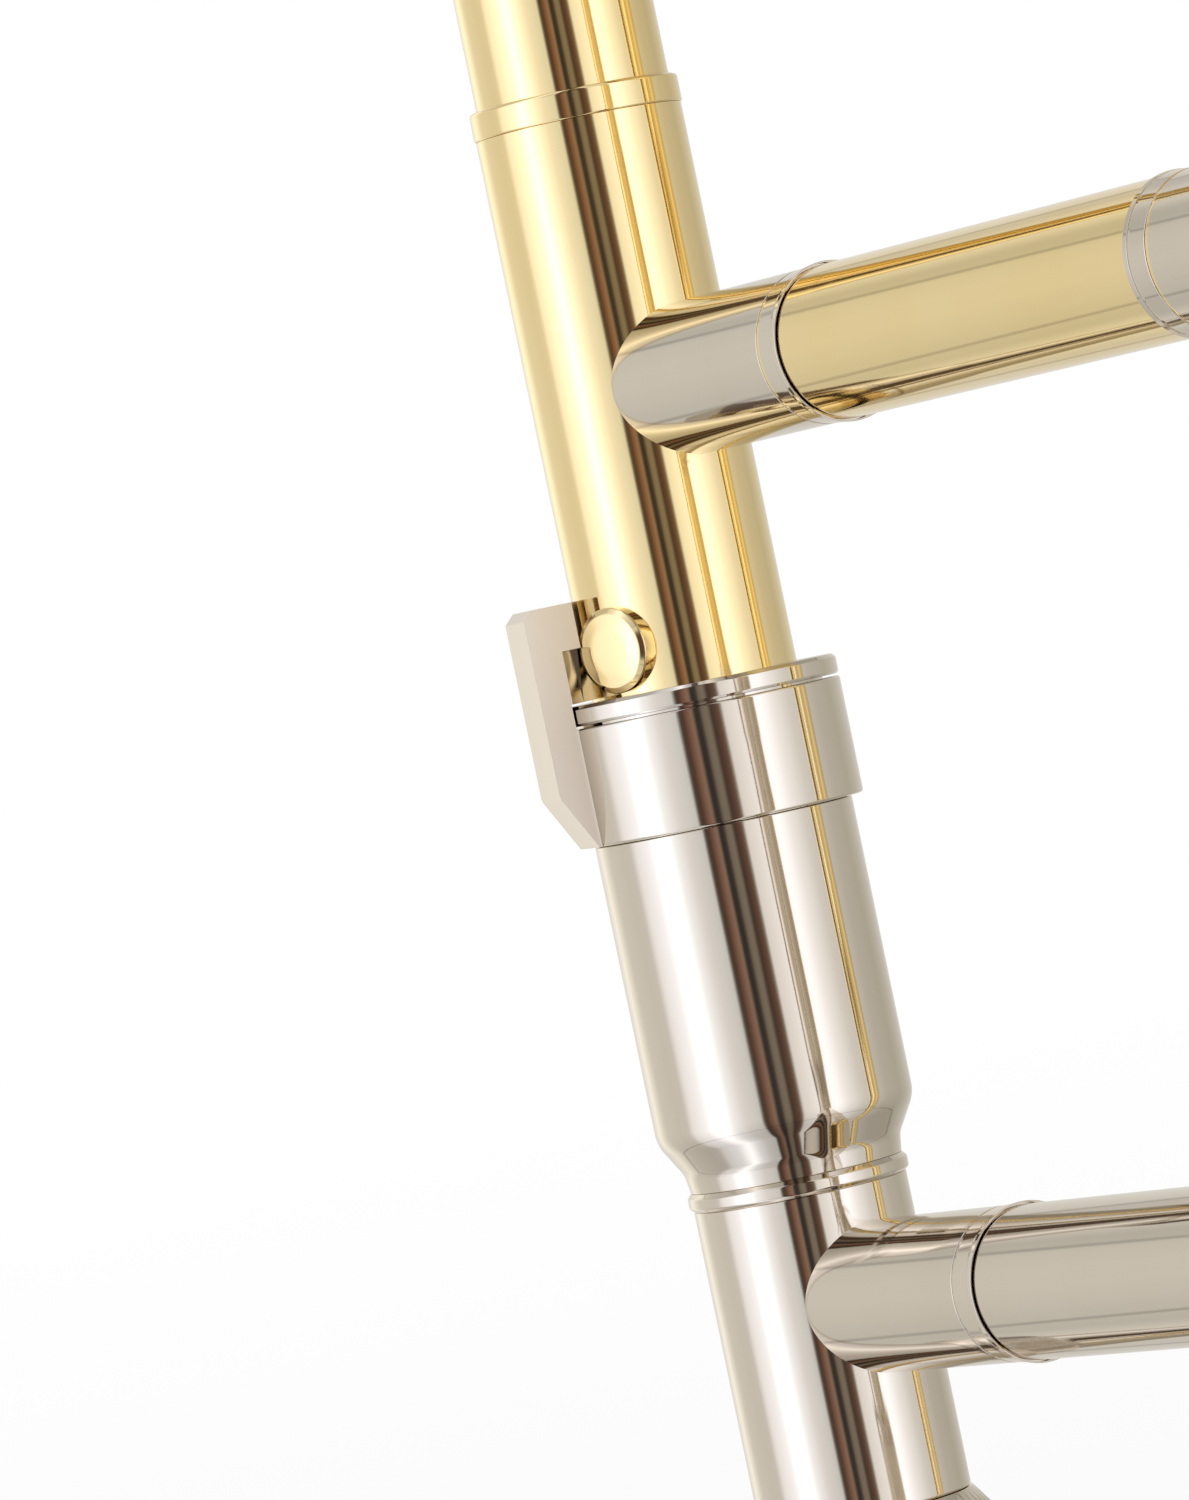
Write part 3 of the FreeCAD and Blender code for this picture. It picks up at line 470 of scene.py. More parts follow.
def across_leg(azimuth, x, z, y=0.0):
    """Stands local +Z out of an upright tube at an azimuth, with local X along the tube."""
    out = Vector((math.cos(azimuth), math.sin(azimuth), 0))
    up = Vector((0, 0, 1))
    matrix = Matrix((up, out.cross(up), out)).transposed().to_4x4()
    matrix.translation = (x, y, z)
    return matrix


def lock_stud():
    turned("lock_stud", [
        (0, SLEEVE_R - 0.6),
        (STUD_R, SLEEVE_R - 0.6, 0.1),
        (STUD_R, STUD_NECK, 0.2),
        (2.95, 9.27, 0.5),
        (1.8, 9.48, 6),
        (0, 9.58),
    ], across_leg(STUD_AZIMUTH, LEG_X["mouthpiece_side"], STUD_UP), around=96, steps=7)


def lock_hook():
    """The hook: a slab on the ring's side, with a slot beside the stud and a lip over it."""
    half, reach = HOOK_HALF, HOOK_REACH
    foot, top = low_high("slide_lock_hook")
    rim = low_high("lock_retaining_ring")[1]
    lid = low_high("slide_lock_ring")[1]

    def chord(radius):
        return math.sqrt(radius ** 2 - half ** 2)

    root = chord(RING_R) - 0.15
    inner = HOOK_BORE - 1.6     # inside the bore that is cut below
    outline = [(root, foot), (chord(RING_R) + 0.25, foot + 0.05), (reach - 0.05, foot + 4.3),
               (reach, foot + 4.6), (reach, top - 0.8), (reach - 0.8, top),
               (inner, top), (inner, rim + 0.25), (chord(RING_R + 0.12), rim + 0.2),
               (chord(RING_R + 0.12), lid), (root, lid)]
    mesh = bmesh.new()
    front = [mesh.verts.new((r * MM, -half * MM, z * MM)) for r, z in outline]
    back = [mesh.verts.new((r * MM, half * MM, z * MM)) for r, z in outline]
    mesh.faces.new(front)
    mesh.faces.new(back[::-1])
    for i in range(len(outline)):
        k = (i + 1) % len(outline)
        mesh.faces.new((front[k], front[i], back[i], back[k]))
    bmesh.ops.recalc_face_normals(mesh, faces=mesh.faces)
    data = bpy.data.meshes.new("slide_lock_hook_fine")
    mesh.to_mesh(data)
    mesh.free()
    hook = linked("slide_lock_hook_fine", data)
    below, above, beyond, aside = rim - 1, top + 1, 16, 8
    bore = turned_parts([(0, below), (HOOK_BORE, below), (HOOK_BORE, above), (0, above)], 192)
    tools = [mesh_piece("hook_bore_tool", *bore[:2])]
    turn = np.array(Matrix.Rotation(STUD_AZIMUTH - HOOK_AZIMUTH, 3, "Z"))
    for wall, far, roof in ((SLOT_WALL, beyond, STUD_UP + SLOT_ROOF), (SLOT_WALL, LIP_UNDER, above),
                            (LIP_WALL, beyond, above)):
        spots = [(along, across, up) for along in (0, far) for across in (-wall, aside)
                 for up in (below, roof)]
        tools.append(mesh_piece("hook_slot_tool", np.array(spots) @ turn.T, [
            [0, 1, 3, 2], [4, 6, 7, 5], [0, 4, 5, 1], [2, 3, 7, 6], [0, 2, 6, 4],
            [1, 5, 7, 3]], smooth=False))
    for tool in tools:
        cut = hook.modifiers.new("cut", "BOOLEAN")
        cut.operation = "DIFFERENCE"
        cut.solver = "EXACT"
        cut.object = tool
    solid = bevelled(hook, 0.14, 3, 25)
    for tool in tools:
        bpy.data.objects.remove(tool)
    matrix = at(LEG_X["mouthpiece_side"]) @ Matrix.Rotation(HOOK_AZIMUTH, 4, "Z")
    matrix.translation *= MM
    solid.transform(matrix)
    stand_for(hook, "slide_lock_hook", "satin")


def brace(which, leg_radius, up):
    """Cross-bar and its two coped ferrules with a grooved end ring."""
    low, high = low_high(which + "_brace_bar", 0)
    bar_radius = wide(which + "_brace_bar", 2)
    turned(which + "_brace_bar", [(0, low), (bar_radius, low, 0.3), (bar_radius, high, 0.3),
                                  (0, high)], at(0, 0, up) @ lying((1, 0, 0)), around=160)
    for side, azimuth in (("bell_side", 0.0), ("mouthpiece_side", math.pi)):
        name = f"{which}_brace_ferrule_{side}"
        low, high = low_high(name, 0)
        reach = max(abs(high - LEG_X[side]), abs(low - LEG_X[side]))
        radius = wide(name, 2) - 0.6
        turned(name, [
            (radius - 0.9, leg_radius, 0.1),
            (radius + 0.02, leg_radius, 0.05),
            (radius, leg_radius + 0.25, 0.1),
            (radius, reach - 2.75, 0.1),
            (radius - 0.14, reach - 2.65, 0.05),
            (radius - 0.14, reach - 2.5, 0.05),
            (radius + 0.02, reach - 2.4, 0.1),
            (radius + 0.1, reach - 0.75, 0.4),
            (radius + 0.1, reach - 0.06, 0.03),
            (radius + 0.04, reach, 0.03),
            (bar_radius + 0.25, reach, 0.1),
            (bar_radius + 0.2, reach - 0.5, 0.05),
            (bar_radius - 0.05, reach - 0.5, 0.05),
            (bar_radius - 0.05, leg_radius + 3, 0.5),
            (radius - 0.9, leg_radius + 2.5, 0.5),
        ], across_leg(azimuth, LEG_X[side], up), around=192, warp=saddle(leg_radius))


def receiver_end():
    side = leg("mouthpiece_side")
    foot, top = low_high("leadpipe")
    turned("leadpipe", [(6.95, foot, 0.05), (6.95, top, 0.05), (6.7, top, 0.05),
                        (5.75, foot + 27, 8), (5.75, foot + 26, 8), (6.42, foot, 0.1)], side)
    foot, top = low_high("mouthpiece_receiver")
    collar = wide("mouthpiece_receiver")
    teeth = 64
    rows = [(collar - 0.03, top - 7.4 + k * 5.0 / 10, 0.05) for k in range(11)]
    turned("mouthpiece_receiver", [
        (6.46, foot, 0.2), (9.2, foot, 0.3), (9.4, foot + 0.6, 0.4), (9.4, foot + 4.4, 0.4),
        (9.1, foot + 5, 0.2), (8.5, foot + 5.4, 0.6), (8.4, foot + 10, 2),
        (8.4, foot + 22, 4), (GRIP_R + 0.1, top - 9.1, 0.6)] + rows + [
        (GRIP_R + 0.1, top, 0.15), (INNER_R, top, 0.05), (INNER_R, foot + 2, 0.05),
        (6.42, foot + 2, 0.05)],
        side, around=teeth * 8, steps=3, warp=knurl(teeth, 0.35, collar, top - 7.6, top - 2.2))
    foot, top = low_high("mouthpiece")
    turned("mouthpiece", [
        (5.0, top, 0.2), (3.5, top - 53, 6), (3.6, top - 58, 2.5), (9.4, top - 65, 7),
        (12.3, top - 76, 6), (12.9, foot, 1.9), (19.5, foot, 2.4), (19.5, foot + 4.4, 1.6),
        (17.6, foot + 6.4, 1.2), (16.6, foot + 13, 6), (13.2, foot + 24, 10),
        (8.7, foot + 33, 5), (7.3, foot + 38, 1.2), (7.9, foot + 39, 0.4),
        (7.9, foot + 40.2, 0.4), (6.9, foot + 41.4, 0.8), (6.37, foot + 58, 4),
        (5.72, top, 0.2)][::-1], side, around=160, steps=7)


def bell_coupling():
    side = leg("bell_side")
    foot, top = low_high("slide_tenon")
    turned("slide_tenon", [
        (6.95, foot, 0.1), (7.7, foot, 0.2), (8.4, top - 3, 0.05), (9.3, top - 3, 0.15),
        (9.3, top, 0.15), (INNER_R, top, 0.05), (INNER_R, foot + 38, 0.05),
        (6.95, foot + 37.9, 0.05)], side)
    foot, top = low_high("bell_receiver")
    thread = [(10.7, top - 12.2, 0.05)]
    turns, pitch = 14, 0.8
    for i in range(turns):
        height = top - 11.8 + i * pitch
        thread += [(10.35, height, 0.05), (10.68, height + 0.4, 0.05)]
    turned("bell_receiver", [
        (8.0, foot, 0.1), (9.3, foot, 0.3), (9.6, foot + 0.5, 0.3), (9.6, foot + 2.6, 0.2),
        (9.2, foot + 3.0, 0.1), (9.2, foot + 3.6, 0.1), (9.6, foot + 4.0, 0.2),
        (9.6, top - 13.7, 1)] + thread + [
        (10.5, top, 0.1), (8.45, top, 0.1), (7.75, top - 36.7, 0.1), (7.75, top - 38.7, 0.1),
        (8.0, top - 38.7, 0.1)], side)
    coupling_nut(side)


def knurl(teeth, depth, outside, foot, top):
    """Presses a straight knurl into the outside of a collar between two heights."""
    def warp(points):
        moved = points.copy()
        radius = np.maximum(np.hypot(points[:, 0], points[:, 1]), 1e-6)
        height = points[:, 2]
        wave = 0.5 - 0.5 * np.cos(teeth * np.arctan2(points[:, 1], points[:, 0]))
        band = np.clip((height - foot) / 0.4, 0, 1) * np.clip((top - height) / 0.4, 0, 1)
        outer = np.clip((radius - outside + 0.6) / 0.3, 0, 1)
        scale = 1 - depth * wave * band * outer / radius
        moved[:, 0] *= scale
        moved[:, 1] *= scale
        return moved
    return warp


def coupling_nut(matrix):
    """Nut with a fine straight knurl between two smooth lips."""
    foot, top = low_high("bell_lock_nut")
    outside = wide("bell_lock_nut")
    teeth = 60
    rows = [(outside - 0.05, foot + 2.4 + k * (top - foot - 4.8) / 14, 0.05) for k in range(15)]
    turned("bell_lock_nut", [
        (10.78, foot, 0.2), (outside - 1.2, foot, 0.3), (outside - 0.4, foot + 0.6, 0.5),
        (outside - 0.4, foot + 1.7, 0.2), (outside - 0.7, foot + 1.9, 0.1),
        (outside - 0.7, foot + 2.2, 0.1)] + rows + [
        (outside - 0.7, top - 2.2, 0.1), (outside - 0.7, top - 1.9, 0.1),
        (outside - 0.4, top - 1.7, 0.2), (outside - 0.4, top - 0.6, 0.5),
        (outside - 1.4, top, 0.3), (GRIP_R + 0.1, top, 0.2), (GRIP_R + 0.1, top - 1.4, 0.1),
        (10.78, top - 1.4, 0.1)], matrix, around=teeth * 8, steps=3,
        warp=knurl(teeth, 0.5, outside, foot + 2.4, top - 2.4))


def outer_slide():
    for side in SIDES:
        name = "outer_tube_" + side
        foot, top = low_high(name)
        turned(name, tube_corners(OUTER_R, OUTER_R - 0.25, foot, top, 0.1), leg(side), around=160)
        name = "oversleeve_" + side
        foot, top = low_high(name)
        turned(name, [(SLEEVE_R, foot, 0.2), (SLEEVE_R, top, 0.05), (OUTER_R, top, 0.05),
                      (OUTER_R, foot, 0.05)], leg(side), around=160)
        name = "sleeve_end_ring_" + side
        foot, top = low_high(name)
        band = SLEEVE_R + 0.12
        turned(name, [
            (SLEEVE_R - 0.2, foot, 0.02), (band, foot + 0.02, 0.3), (band, top - 0.02, 0.4),
            (OUTER_R, top, 0.05), (OUTER_R, foot, 0.05)], leg(side), around=192)
        name = "crook_ferrule_" + side
        foot, top = low_high(name)
        bead = wide(name)
        crook = bead - 0.9
        turned(name, [
            (bead - 0.2, foot, 0.2), (bead, foot + 0.4, 0.3), (bead, foot + 1.7, 0.3),
            (bead - 0.45, foot + 2.2, 0.2), (bead - 0.45, top - 2.2, 0.2),
            (bead, top - 1.7, 0.3), (bead, top - 0.4, 0.3), (bead - 0.2, top, 0.2),
            (crook, top, 0.05), (crook, foot + 15, 0.05), (OUTER_R, foot + 15, 0.05),
            (OUTER_R, foot, 0.05)], leg(side))


def bow_parts(bend, outside, inside, straight, matrix, around=96, along=96):
    """A U of tube: straight legs that start at z = 0, and a half circle over them."""
    stations = [(-bend, 0.0, 0.0), (-bend, straight, 0.0)]
    for k in range(1, along):
        turn = math.pi * k / along
        stations.append((-bend * math.cos(turn), straight + bend * math.sin(turn), turn))
    stations += [(bend, straight, math.pi), (bend, 0.0, math.pi)]
    points, normals, faces = [], [], []
    for radius, sign in ((outside, 1), (inside, -1)):
        for x, z, turn in stations:
            outward = np.array([-math.cos(turn), 0, math.sin(turn)])
            for j in range(around):
                angle = 2 * math.pi * j / around
                way = outward * math.cos(angle) + np.array([0, 1, 0]) * math.sin(angle)
                points.append(np.array([x, 0, z]) + way * radius)
                normals.append(way * sign)
    count = len(stations)
    for shell, flip in ((0, True), (count * around, False)):
        for i in range(count - 1):
            for j in range(around):
                k = (j + 1) % around
                loop = [shell + i * around + j, shell + i * around + k,
                        shell + (i + 1) * around + k, shell + (i + 1) * around + j]
                faces.append(loop[::-1] if flip else loop)
    for i, flip in ((0, False), (count - 1, True)):
        for j in range(around):
            k = (j + 1) % around
            a, b = i * around + j, i * around + k
            c, d = count * around + b, count * around + a
            faces.append([a, b, c, d][::-1] if flip else [a, b, c, d])
    points, normals = placed(np.array(points), np.array(normals), matrix)
    return points, faces, normals


def crook():
    foot, top = low_high("slide_crook")
    radius = wide("slide_crook", 1)
    bend = LEG_SPACING / 2
    turn = top - bend - radius
    joined("slide_crook", bow_parts(bend, radius, radius - 0.55, turn - foot, at(0, 0, foot)))
    guard(bend, radius, turn)
    crest = turn + bend + radius
    turned("bumper_nipple", [
        (0, 0.2), (5.6, 0.2, 0.3), (5, 1.6, 0.8), (5, 2.8, 0.4), (7, 3.3, 0.3), (7, 4.9, 0.3),
        (0, 4.9)], at(0, 0, crest), around=96)
    turned("rubber_bumper", [
        (0, 4.95), (6.5, 4.95, 0.4), (7.5, 6.4, 0.8), (7.3, 9.2, 0.4), (6.9, 9.6, 0.3),
        (7.1, 10.0, 0.4), (6.9, 12.3, 1.2), (5.2, 14.48, 1), (0, 14.48)], at(0, 0, crest),
        around=96)


def guard(bend, radius, turn):
    """Wear plate round the outside of the crook, narrowing to rounded ends."""
    span, thick = math.radians(41), 0.9
    along, across = 72, 28
    points, faces, normals = [], [], []
    for depth, sign in ((radius + thick, 1), (radius - 0.05, -1)):
        for i in range(along + 1):
            share = -1 + 2 * i / along
            angle = math.pi / 2 + share * span
            width = math.radians(80) * math.sqrt(max(1 - abs(share) ** 5, 0.0)) + 0.02
            for j in range(across + 1):
                tilt = width * (-1 + 2 * j / across)
                outward = np.array([math.cos(angle), 0, math.sin(angle)])
                way = outward * math.cos(tilt) + np.array([0, 1, 0]) * math.sin(tilt)
                points.append(outward * bend + way * depth)
                normals.append(way * sign)
    step = across + 1
    size = (along + 1) * step
    for i in range(along):
        for j in range(across):
            a = i * step + j
            loop = [a, a + 1, a + step + 1, a + step]
            faces.append(loop)
            faces.append([v + size for v in loop[::-1]])
    edge = (list(range(across)) + [i * step + across for i in range(along)]
            + [along * step + j for j in range(across, 0, -1)]
            + [i * step for i in range(along, 0, -1)])
    for a, b in zip(edge, edge[1:] + edge[:1]):
        faces.append([a, a + size, b + size, b])
    points, normals = placed(np.array(points), np.array(normals), at(0, 0, turn))
    joined("crook_guard", (points, faces, normals))


# ---------------------------------------------------------------- water key

def eased_copy(node, edge, angle=30):
    """A copy of a cut CAD piece with its flats made whole and its edges rounded."""
    source = bpy.data.objects[node]
    data = source.data.copy()
    data.transform(source.matrix_world)
    data.materials.clear()
    mesh = bmesh.new()
    mesh.from_mesh(data)
    bmesh.ops.remove_doubles(mesh, verts=mesh.verts, dist=1e-6)
    bmesh.ops.dissolve_limit(mesh, angle_limit=math.radians(1), verts=mesh.verts,
                             edges=mesh.edges)
    mesh.to_mesh(data)
    mesh.free()
    piece = linked(node + "_fine", data)
    solid = bevelled(piece, edge, 2, angle)
    solid.shade_smooth()
    solid.set_sharp_from_angle(angle=math.radians(32))
    return stand_for(piece, node)


def coil_parts(radius, wire, pitch, turns, matrix, around=12, per_turn=40):
    """A helix of round wire that starts at the origin of its matrix."""
    points, normals, faces = [], [], []
    count = int(turns * per_turn) + 1
    for i in range(count):
        angle = 2 * math.pi * i / per_turn
        out = np.array([math.cos(angle), math.sin(angle), 0])
        centre = out * radius + np.array([0, 0, pitch * i / per_turn])
        for j in range(around):
            tilt = 2 * math.pi * j / around
            way = out * math.cos(tilt) + np.array([0, 0, 1]) * math.sin(tilt)
            points.append(centre + way * wire)
            normals.append(way)
    for i in range(count - 1):
        for j in range(around):
            k = (j + 1) % around
            faces.append([i * around + j, i * around + k, (i + 1) * around + k,
                          (i + 1) * around + j][::-1])
    faces.append(list(range(around)))
    faces.append(list(range((count - 1) * around, count * around))[::-1])
    points, normals = placed(np.array(points), np.array(normals), matrix)
    return points, faces, normals


def out_of_leg(node):
    """How far out of the bell side's leg, on the water key's side, a node starts and ends."""
    low, high = low_high(node, 0)
    return LEG_X["bell_side"] - high, LEG_X["bell_side"] - low


def water_key():
    near, far = low_high("water_key_screw", 1)
    length = far - near
    pivot = middle("water_key_screw")
    screw = at(pivot.x, near, pivot.z) @ lying((0, 1, 0))
    eased_copy("water_key_saddle", 0.25)
    eased_copy("water_key_lever", 0.3, 35)
    hole = across_leg(math.pi, LEG_X["bell_side"], middle("water_key_nipple").z)
    near, far = out_of_leg("water_key_nipple")
    crook_radius = wide("slide_crook", 1)
    turned("water_key_nipple", [
        (1.9, near, 0.1), (4.0, near, 0.2), (4.0, crook_radius + 0.8, 0.3),
        (3.0, crook_radius + 1.4, 0.4), (3.0, far, 0.15), (1.9, far, 0.15)], hole, around=64)
    near, far = out_of_leg("water_key_cork")
    turned("water_key_cork", [(0, near), (3.95, near, 0.3), (3.95, far, 0.2), (0, far)], hole,
           around=64)
    turned("water_key_screw", [
        (0, 0), (1.0, 0, 0.1), (1.0, length - 1.2, 0.05), (1.9, length - 1.2, 0.1),
        (1.9, length - 0.25, 0.3), (1.2, length, 0.4), (0.25, length, 0.02),
        (0.25, length - 0.5, 0.02), (0, length - 0.5)], screw, around=48)
    near, far = low_high("water_key_spring", 1)
    radius, wire, turns = 2.76, 0.22, 2.5
    start = at(pivot.x, near + wire, pivot.z) @ lying((0, 1, 0))
    joined("water_key_spring", coil_parts(radius, wire, (far - near - 2 * wire) / turns, turns,
                                          start))


# ---------------------------------------------------------------- bell section

def bell():
    """Flared bell in two pieces: the radius falls off as a power of the way in from the rim."""
    foot = low_high("bell_stem")[0]
    top = low_high("bell")[1]
    seam = top - SEAM_UP
    mouth = 105.5
    throat = 9.6
    wall = 0.7
    power = 0.7
    lead = (top - foot) / ((mouth / throat) ** (1 / power) - 1)
    for node, start, stop, crowd in (("bell", 0, seam, 2.4), ("bell_stem", seam, top - foot, 1.2)):
        steps = 80
        inner, outer = [], []
        for k in range(steps + 1):
            place = start + (stop - start) * (k / steps) ** crowd
            radius = mouth * (lead / (lead + place)) ** power
            slope = -power * radius / (lead + place)
            lean = wall / math.hypot(1, slope)
            inner.append((radius, top - place, 0.02))
            outer.append((radius + lean, top - place + lean * slope, 0.02))
        if node == "bell_stem":
            outer[-1] = (throat + wall, foot, 0.1)
            outline = inner + outer[::-1]
        else:
            outline = inner[1:] + outer[:0:-1] + [(mouth + 0.5, top - 0.35, 0.1)]
        turned(node, outline, at(LEG_X["bell_side"], BELL_AXIS_Y), around=256, steps=1)
    centre = middle("bell_rim_wire")
    radius = wide("bell_rim_wire", 2)
    ring = wide("bell_rim_wire", 0) - radius
    loop = [(ring + radius * math.cos(a), centre.z + radius * math.sin(a), 0.2)
            for a in np.linspace(0, 2 * math.pi, 20, endpoint=False)]
    turned("bell_rim_wire", loop, at(LEG_X["bell_side"], BELL_AXIS_Y), around=256, steps=2)


def bell_section():
    neck = leg("bell_side")
    stem = at(LEG_X["bell_side"], BELL_AXIS_Y)
    foot, top = low_high("neckpipe")
    pipe = wide("neckpipe")
    turned("neckpipe", tube_corners(pipe, pipe - 0.8, foot, top), neck)
    foot, top = low_high("tuning_sleeve_neck_side")
    sleeve = wide("tuning_sleeve_neck_side")
    turned("tuning_sleeve_neck_side", [
        (sleeve - 0.5, foot, 0.1), (sleeve - 0.15, foot, 0.1), (sleeve, foot + 0.2, 0.2),
        (sleeve, foot + 2.2, 0.2), (sleeve - 0.2, foot + 2.5, 0.2), (sleeve - 0.2, top - 2.5, 0.2),
        (sleeve, top - 2.2, 0.2), (sleeve, top - 0.2, 0.2), (sleeve - 0.15, top, 0.1),
        (pipe, top, 0.05), (pipe, top - 12.5, 0.05), (sleeve - 0.5, top - 12.5, 0.05)], neck)
    foot, top = low_high("tuning_sleeve_bell_side")
    sleeve = wide("tuning_sleeve_bell_side")
    turned("tuning_sleeve_bell_side", [
        (sleeve - 1.2, foot, 0.1), (sleeve - 0.7, foot, 0.15), (sleeve - 0.7, foot + 2.2, 0.2),
        (sleeve - 0.85, foot + 2.5, 0.2), (sleeve - 0.85, top - 18, 0.3),
        (sleeve - 0.7, top - 15, 1), (sleeve, top - 13, 1), (sleeve, top - 0.2, 0.3),
        (sleeve - 0.5, top, 0.1), (sleeve - 0.5, top - 12.3, 0.05),
        (sleeve - 1.2, top - 12.3, 0.05)], stem)
    stay("front_bell_stay", pipe, 12.75)
    stay("rear_bell_stay", wide("tuning_sleeve_neck_side"),
         wide("tuning_sleeve_bell_side") - 0.7)


def stay(node, near, far):
    """Thin turned bar with a ring at its middle and a flared foot saddled on each tube."""
    height = middle(node).z
    gap = -BELL_AXIS_Y
    bar = 3.2
    half = gap / 2

    def both_saddles(points):
        moved = points.copy()
        side = points[:, 1] ** 2
        low = near - np.sqrt(np.maximum(near ** 2 - side, 0.01))
        high = far - np.sqrt(np.maximum(far ** 2 - side, 0.01))
        fade_low = np.clip((near + 6 - points[:, 2]) / 6, 0, 1)
        fade_high = np.clip((points[:, 2] - (gap - far - 6)) / 6, 0, 1)
        moved[:, 2] += (high + 0.2) * fade_high - (low + 0.2) * fade_low
        return moved

    end = gap - far
    turned(node, [
        (0, near), (5.9, near, 0.2), (5.7, near + 0.8, 0.5), (bar + 0.5, near + 3.2, 2.5),
        (bar, near + 6, 3), (bar, half - 4, 0.6), (bar + 0.6, half - 3.4, 0.4),
        (bar + 0.6, half - 2.8, 0.3), (bar + 1.2, half - 2.4, 0.4), (bar + 1.2, half + 2.4, 0.4),
        (bar + 0.6, half + 2.8, 0.3), (bar + 0.6, half + 3.4, 0.4), (bar, half + 4, 0.6),
        (bar, end - 6, 3), (bar + 0.5, end - 3.2, 2.5), (5.7, end - 0.8, 0.5), (5.9, end, 0.2),
        (0, end)], across_leg(-math.pi / 2, LEG_X["bell_side"], height), around=96,
        warp=both_saddles)


def tuning_slide():
    for side, matrix, bore, outside, collar in (
            ("neck_side", leg("bell_side"), 8.0, 8.48, 9.9),
            ("bell_side", at(LEG_X["bell_side"], BELL_AXIS_Y), 9.2, 9.72, 10.7)):
        name = "tuning_leg_" + side
        foot, top = low_high(name)
        shoulder = foot + 25
        bow = 9.4
        turned(name, [
            (bore, foot, 0.05), (bow, foot, 0.05), (bow, foot + 8, 0.1),
            (collar + 0.2, foot + 8, 0.2), (collar + 0.3, foot + 8.3, 0.3),
            (collar + 0.3, foot + 10.1, 0.3), (collar, foot + 10.7, 0.3),
            (collar, shoulder - 3.6, 0.3), (collar + 0.3, shoulder - 3.0, 0.3),
            (collar + 0.3, shoulder - 0.3, 0.3), (collar + 0.1, shoulder, 0.1),
            (outside, shoulder, 0.05), (outside, top, 0.15), (bore, top, 0.1)], matrix)
    down, start = low_high("tuning_bow")
    bend = -BELL_AXIS_Y / 2
    outside = wide("tuning_bow", 0)
    straight = (start - down) - bend - outside
    matrix = (at(LEG_X["bell_side"], -bend, start) @ Matrix.Rotation(math.pi / 2, 4, "Z")
              @ Matrix.Rotation(math.pi, 4, "X"))
    joined("tuning_bow", bow_parts(bend, outside, outside - 0.8, straight, matrix))
    stay("tuning_stay", 9.9, 10.7)
    centre = middle("balance_weight")
    thick = wide("balance_weight", 0)
    disc = wide("balance_weight", 1)
    turned("balance_weight", [
        (0, -thick), (disc - 5, -thick, 1), (disc - 3.5, -thick + 0.4, 0.8),
        (disc, -thick + 2.4, 1.6), (disc, thick - 2.4, 1.6),
        (disc - 3.5, thick - 0.4, 0.8), (disc - 5, thick, 1), (0, thick)],
        at(*centre) @ lying((1, 0, 0)), around=160)


# ---------------------------------------------------------------- studio

LEG_DISTANCE = 697.0     # from the camera to the point it looks at
AIM_UP = 46.4            # that point's height
AIM_ASIDE = 8.84         # and how far it lies beside the leg
VIEW_AZIMUTH = math.radians(55.5)
VIEW_PITCH = math.radians(0.7)
VIEW_ROLL = math.radians(-11.73)
LENS = 211.5
RIGHT = Vector((-math.cos(VIEW_AZIMUTH), -math.sin(VIEW_AZIMUTH), 0))
TOWARDS = Vector((-math.sin(VIEW_AZIMUTH), math.cos(VIEW_AZIMUTH), 0))
GLOW = 2.8               # brings the walls' colours under 1, and is given back as strength
HEIGHT_GLOW = 1.1        # the same for the heights
BACKDROP = ((0.0, 0.93), (0.44, 0.955), (0.475, 1))


def camera():
    aim = Vector((LEG_X["mouthpiece_side"], 0, AIM_UP)) - RIGHT * AIM_ASIDE
    back = TOWARDS * math.cos(VIEW_PITCH) + Vector((0, 0, math.sin(VIEW_PITCH)))
    data = bpy.data.cameras.new("camera")
    data.lens = LENS
    data.sensor_width = 36
    data.clip_start = 0.01
    data.clip_end = 100
    thing = linked("camera", data)
    thing.rotation_mode = "QUATERNION"
    thing.location = (aim + back * LEG_DISTANCE) * MM
    thing.rotation_quaternion = ((-back).to_track_quat("-Z", "Y")
                                 @ Matrix.Rotation(VIEW_ROLL, 3, "Z").to_quaternion())
    bpy.context.scene.camera = thing


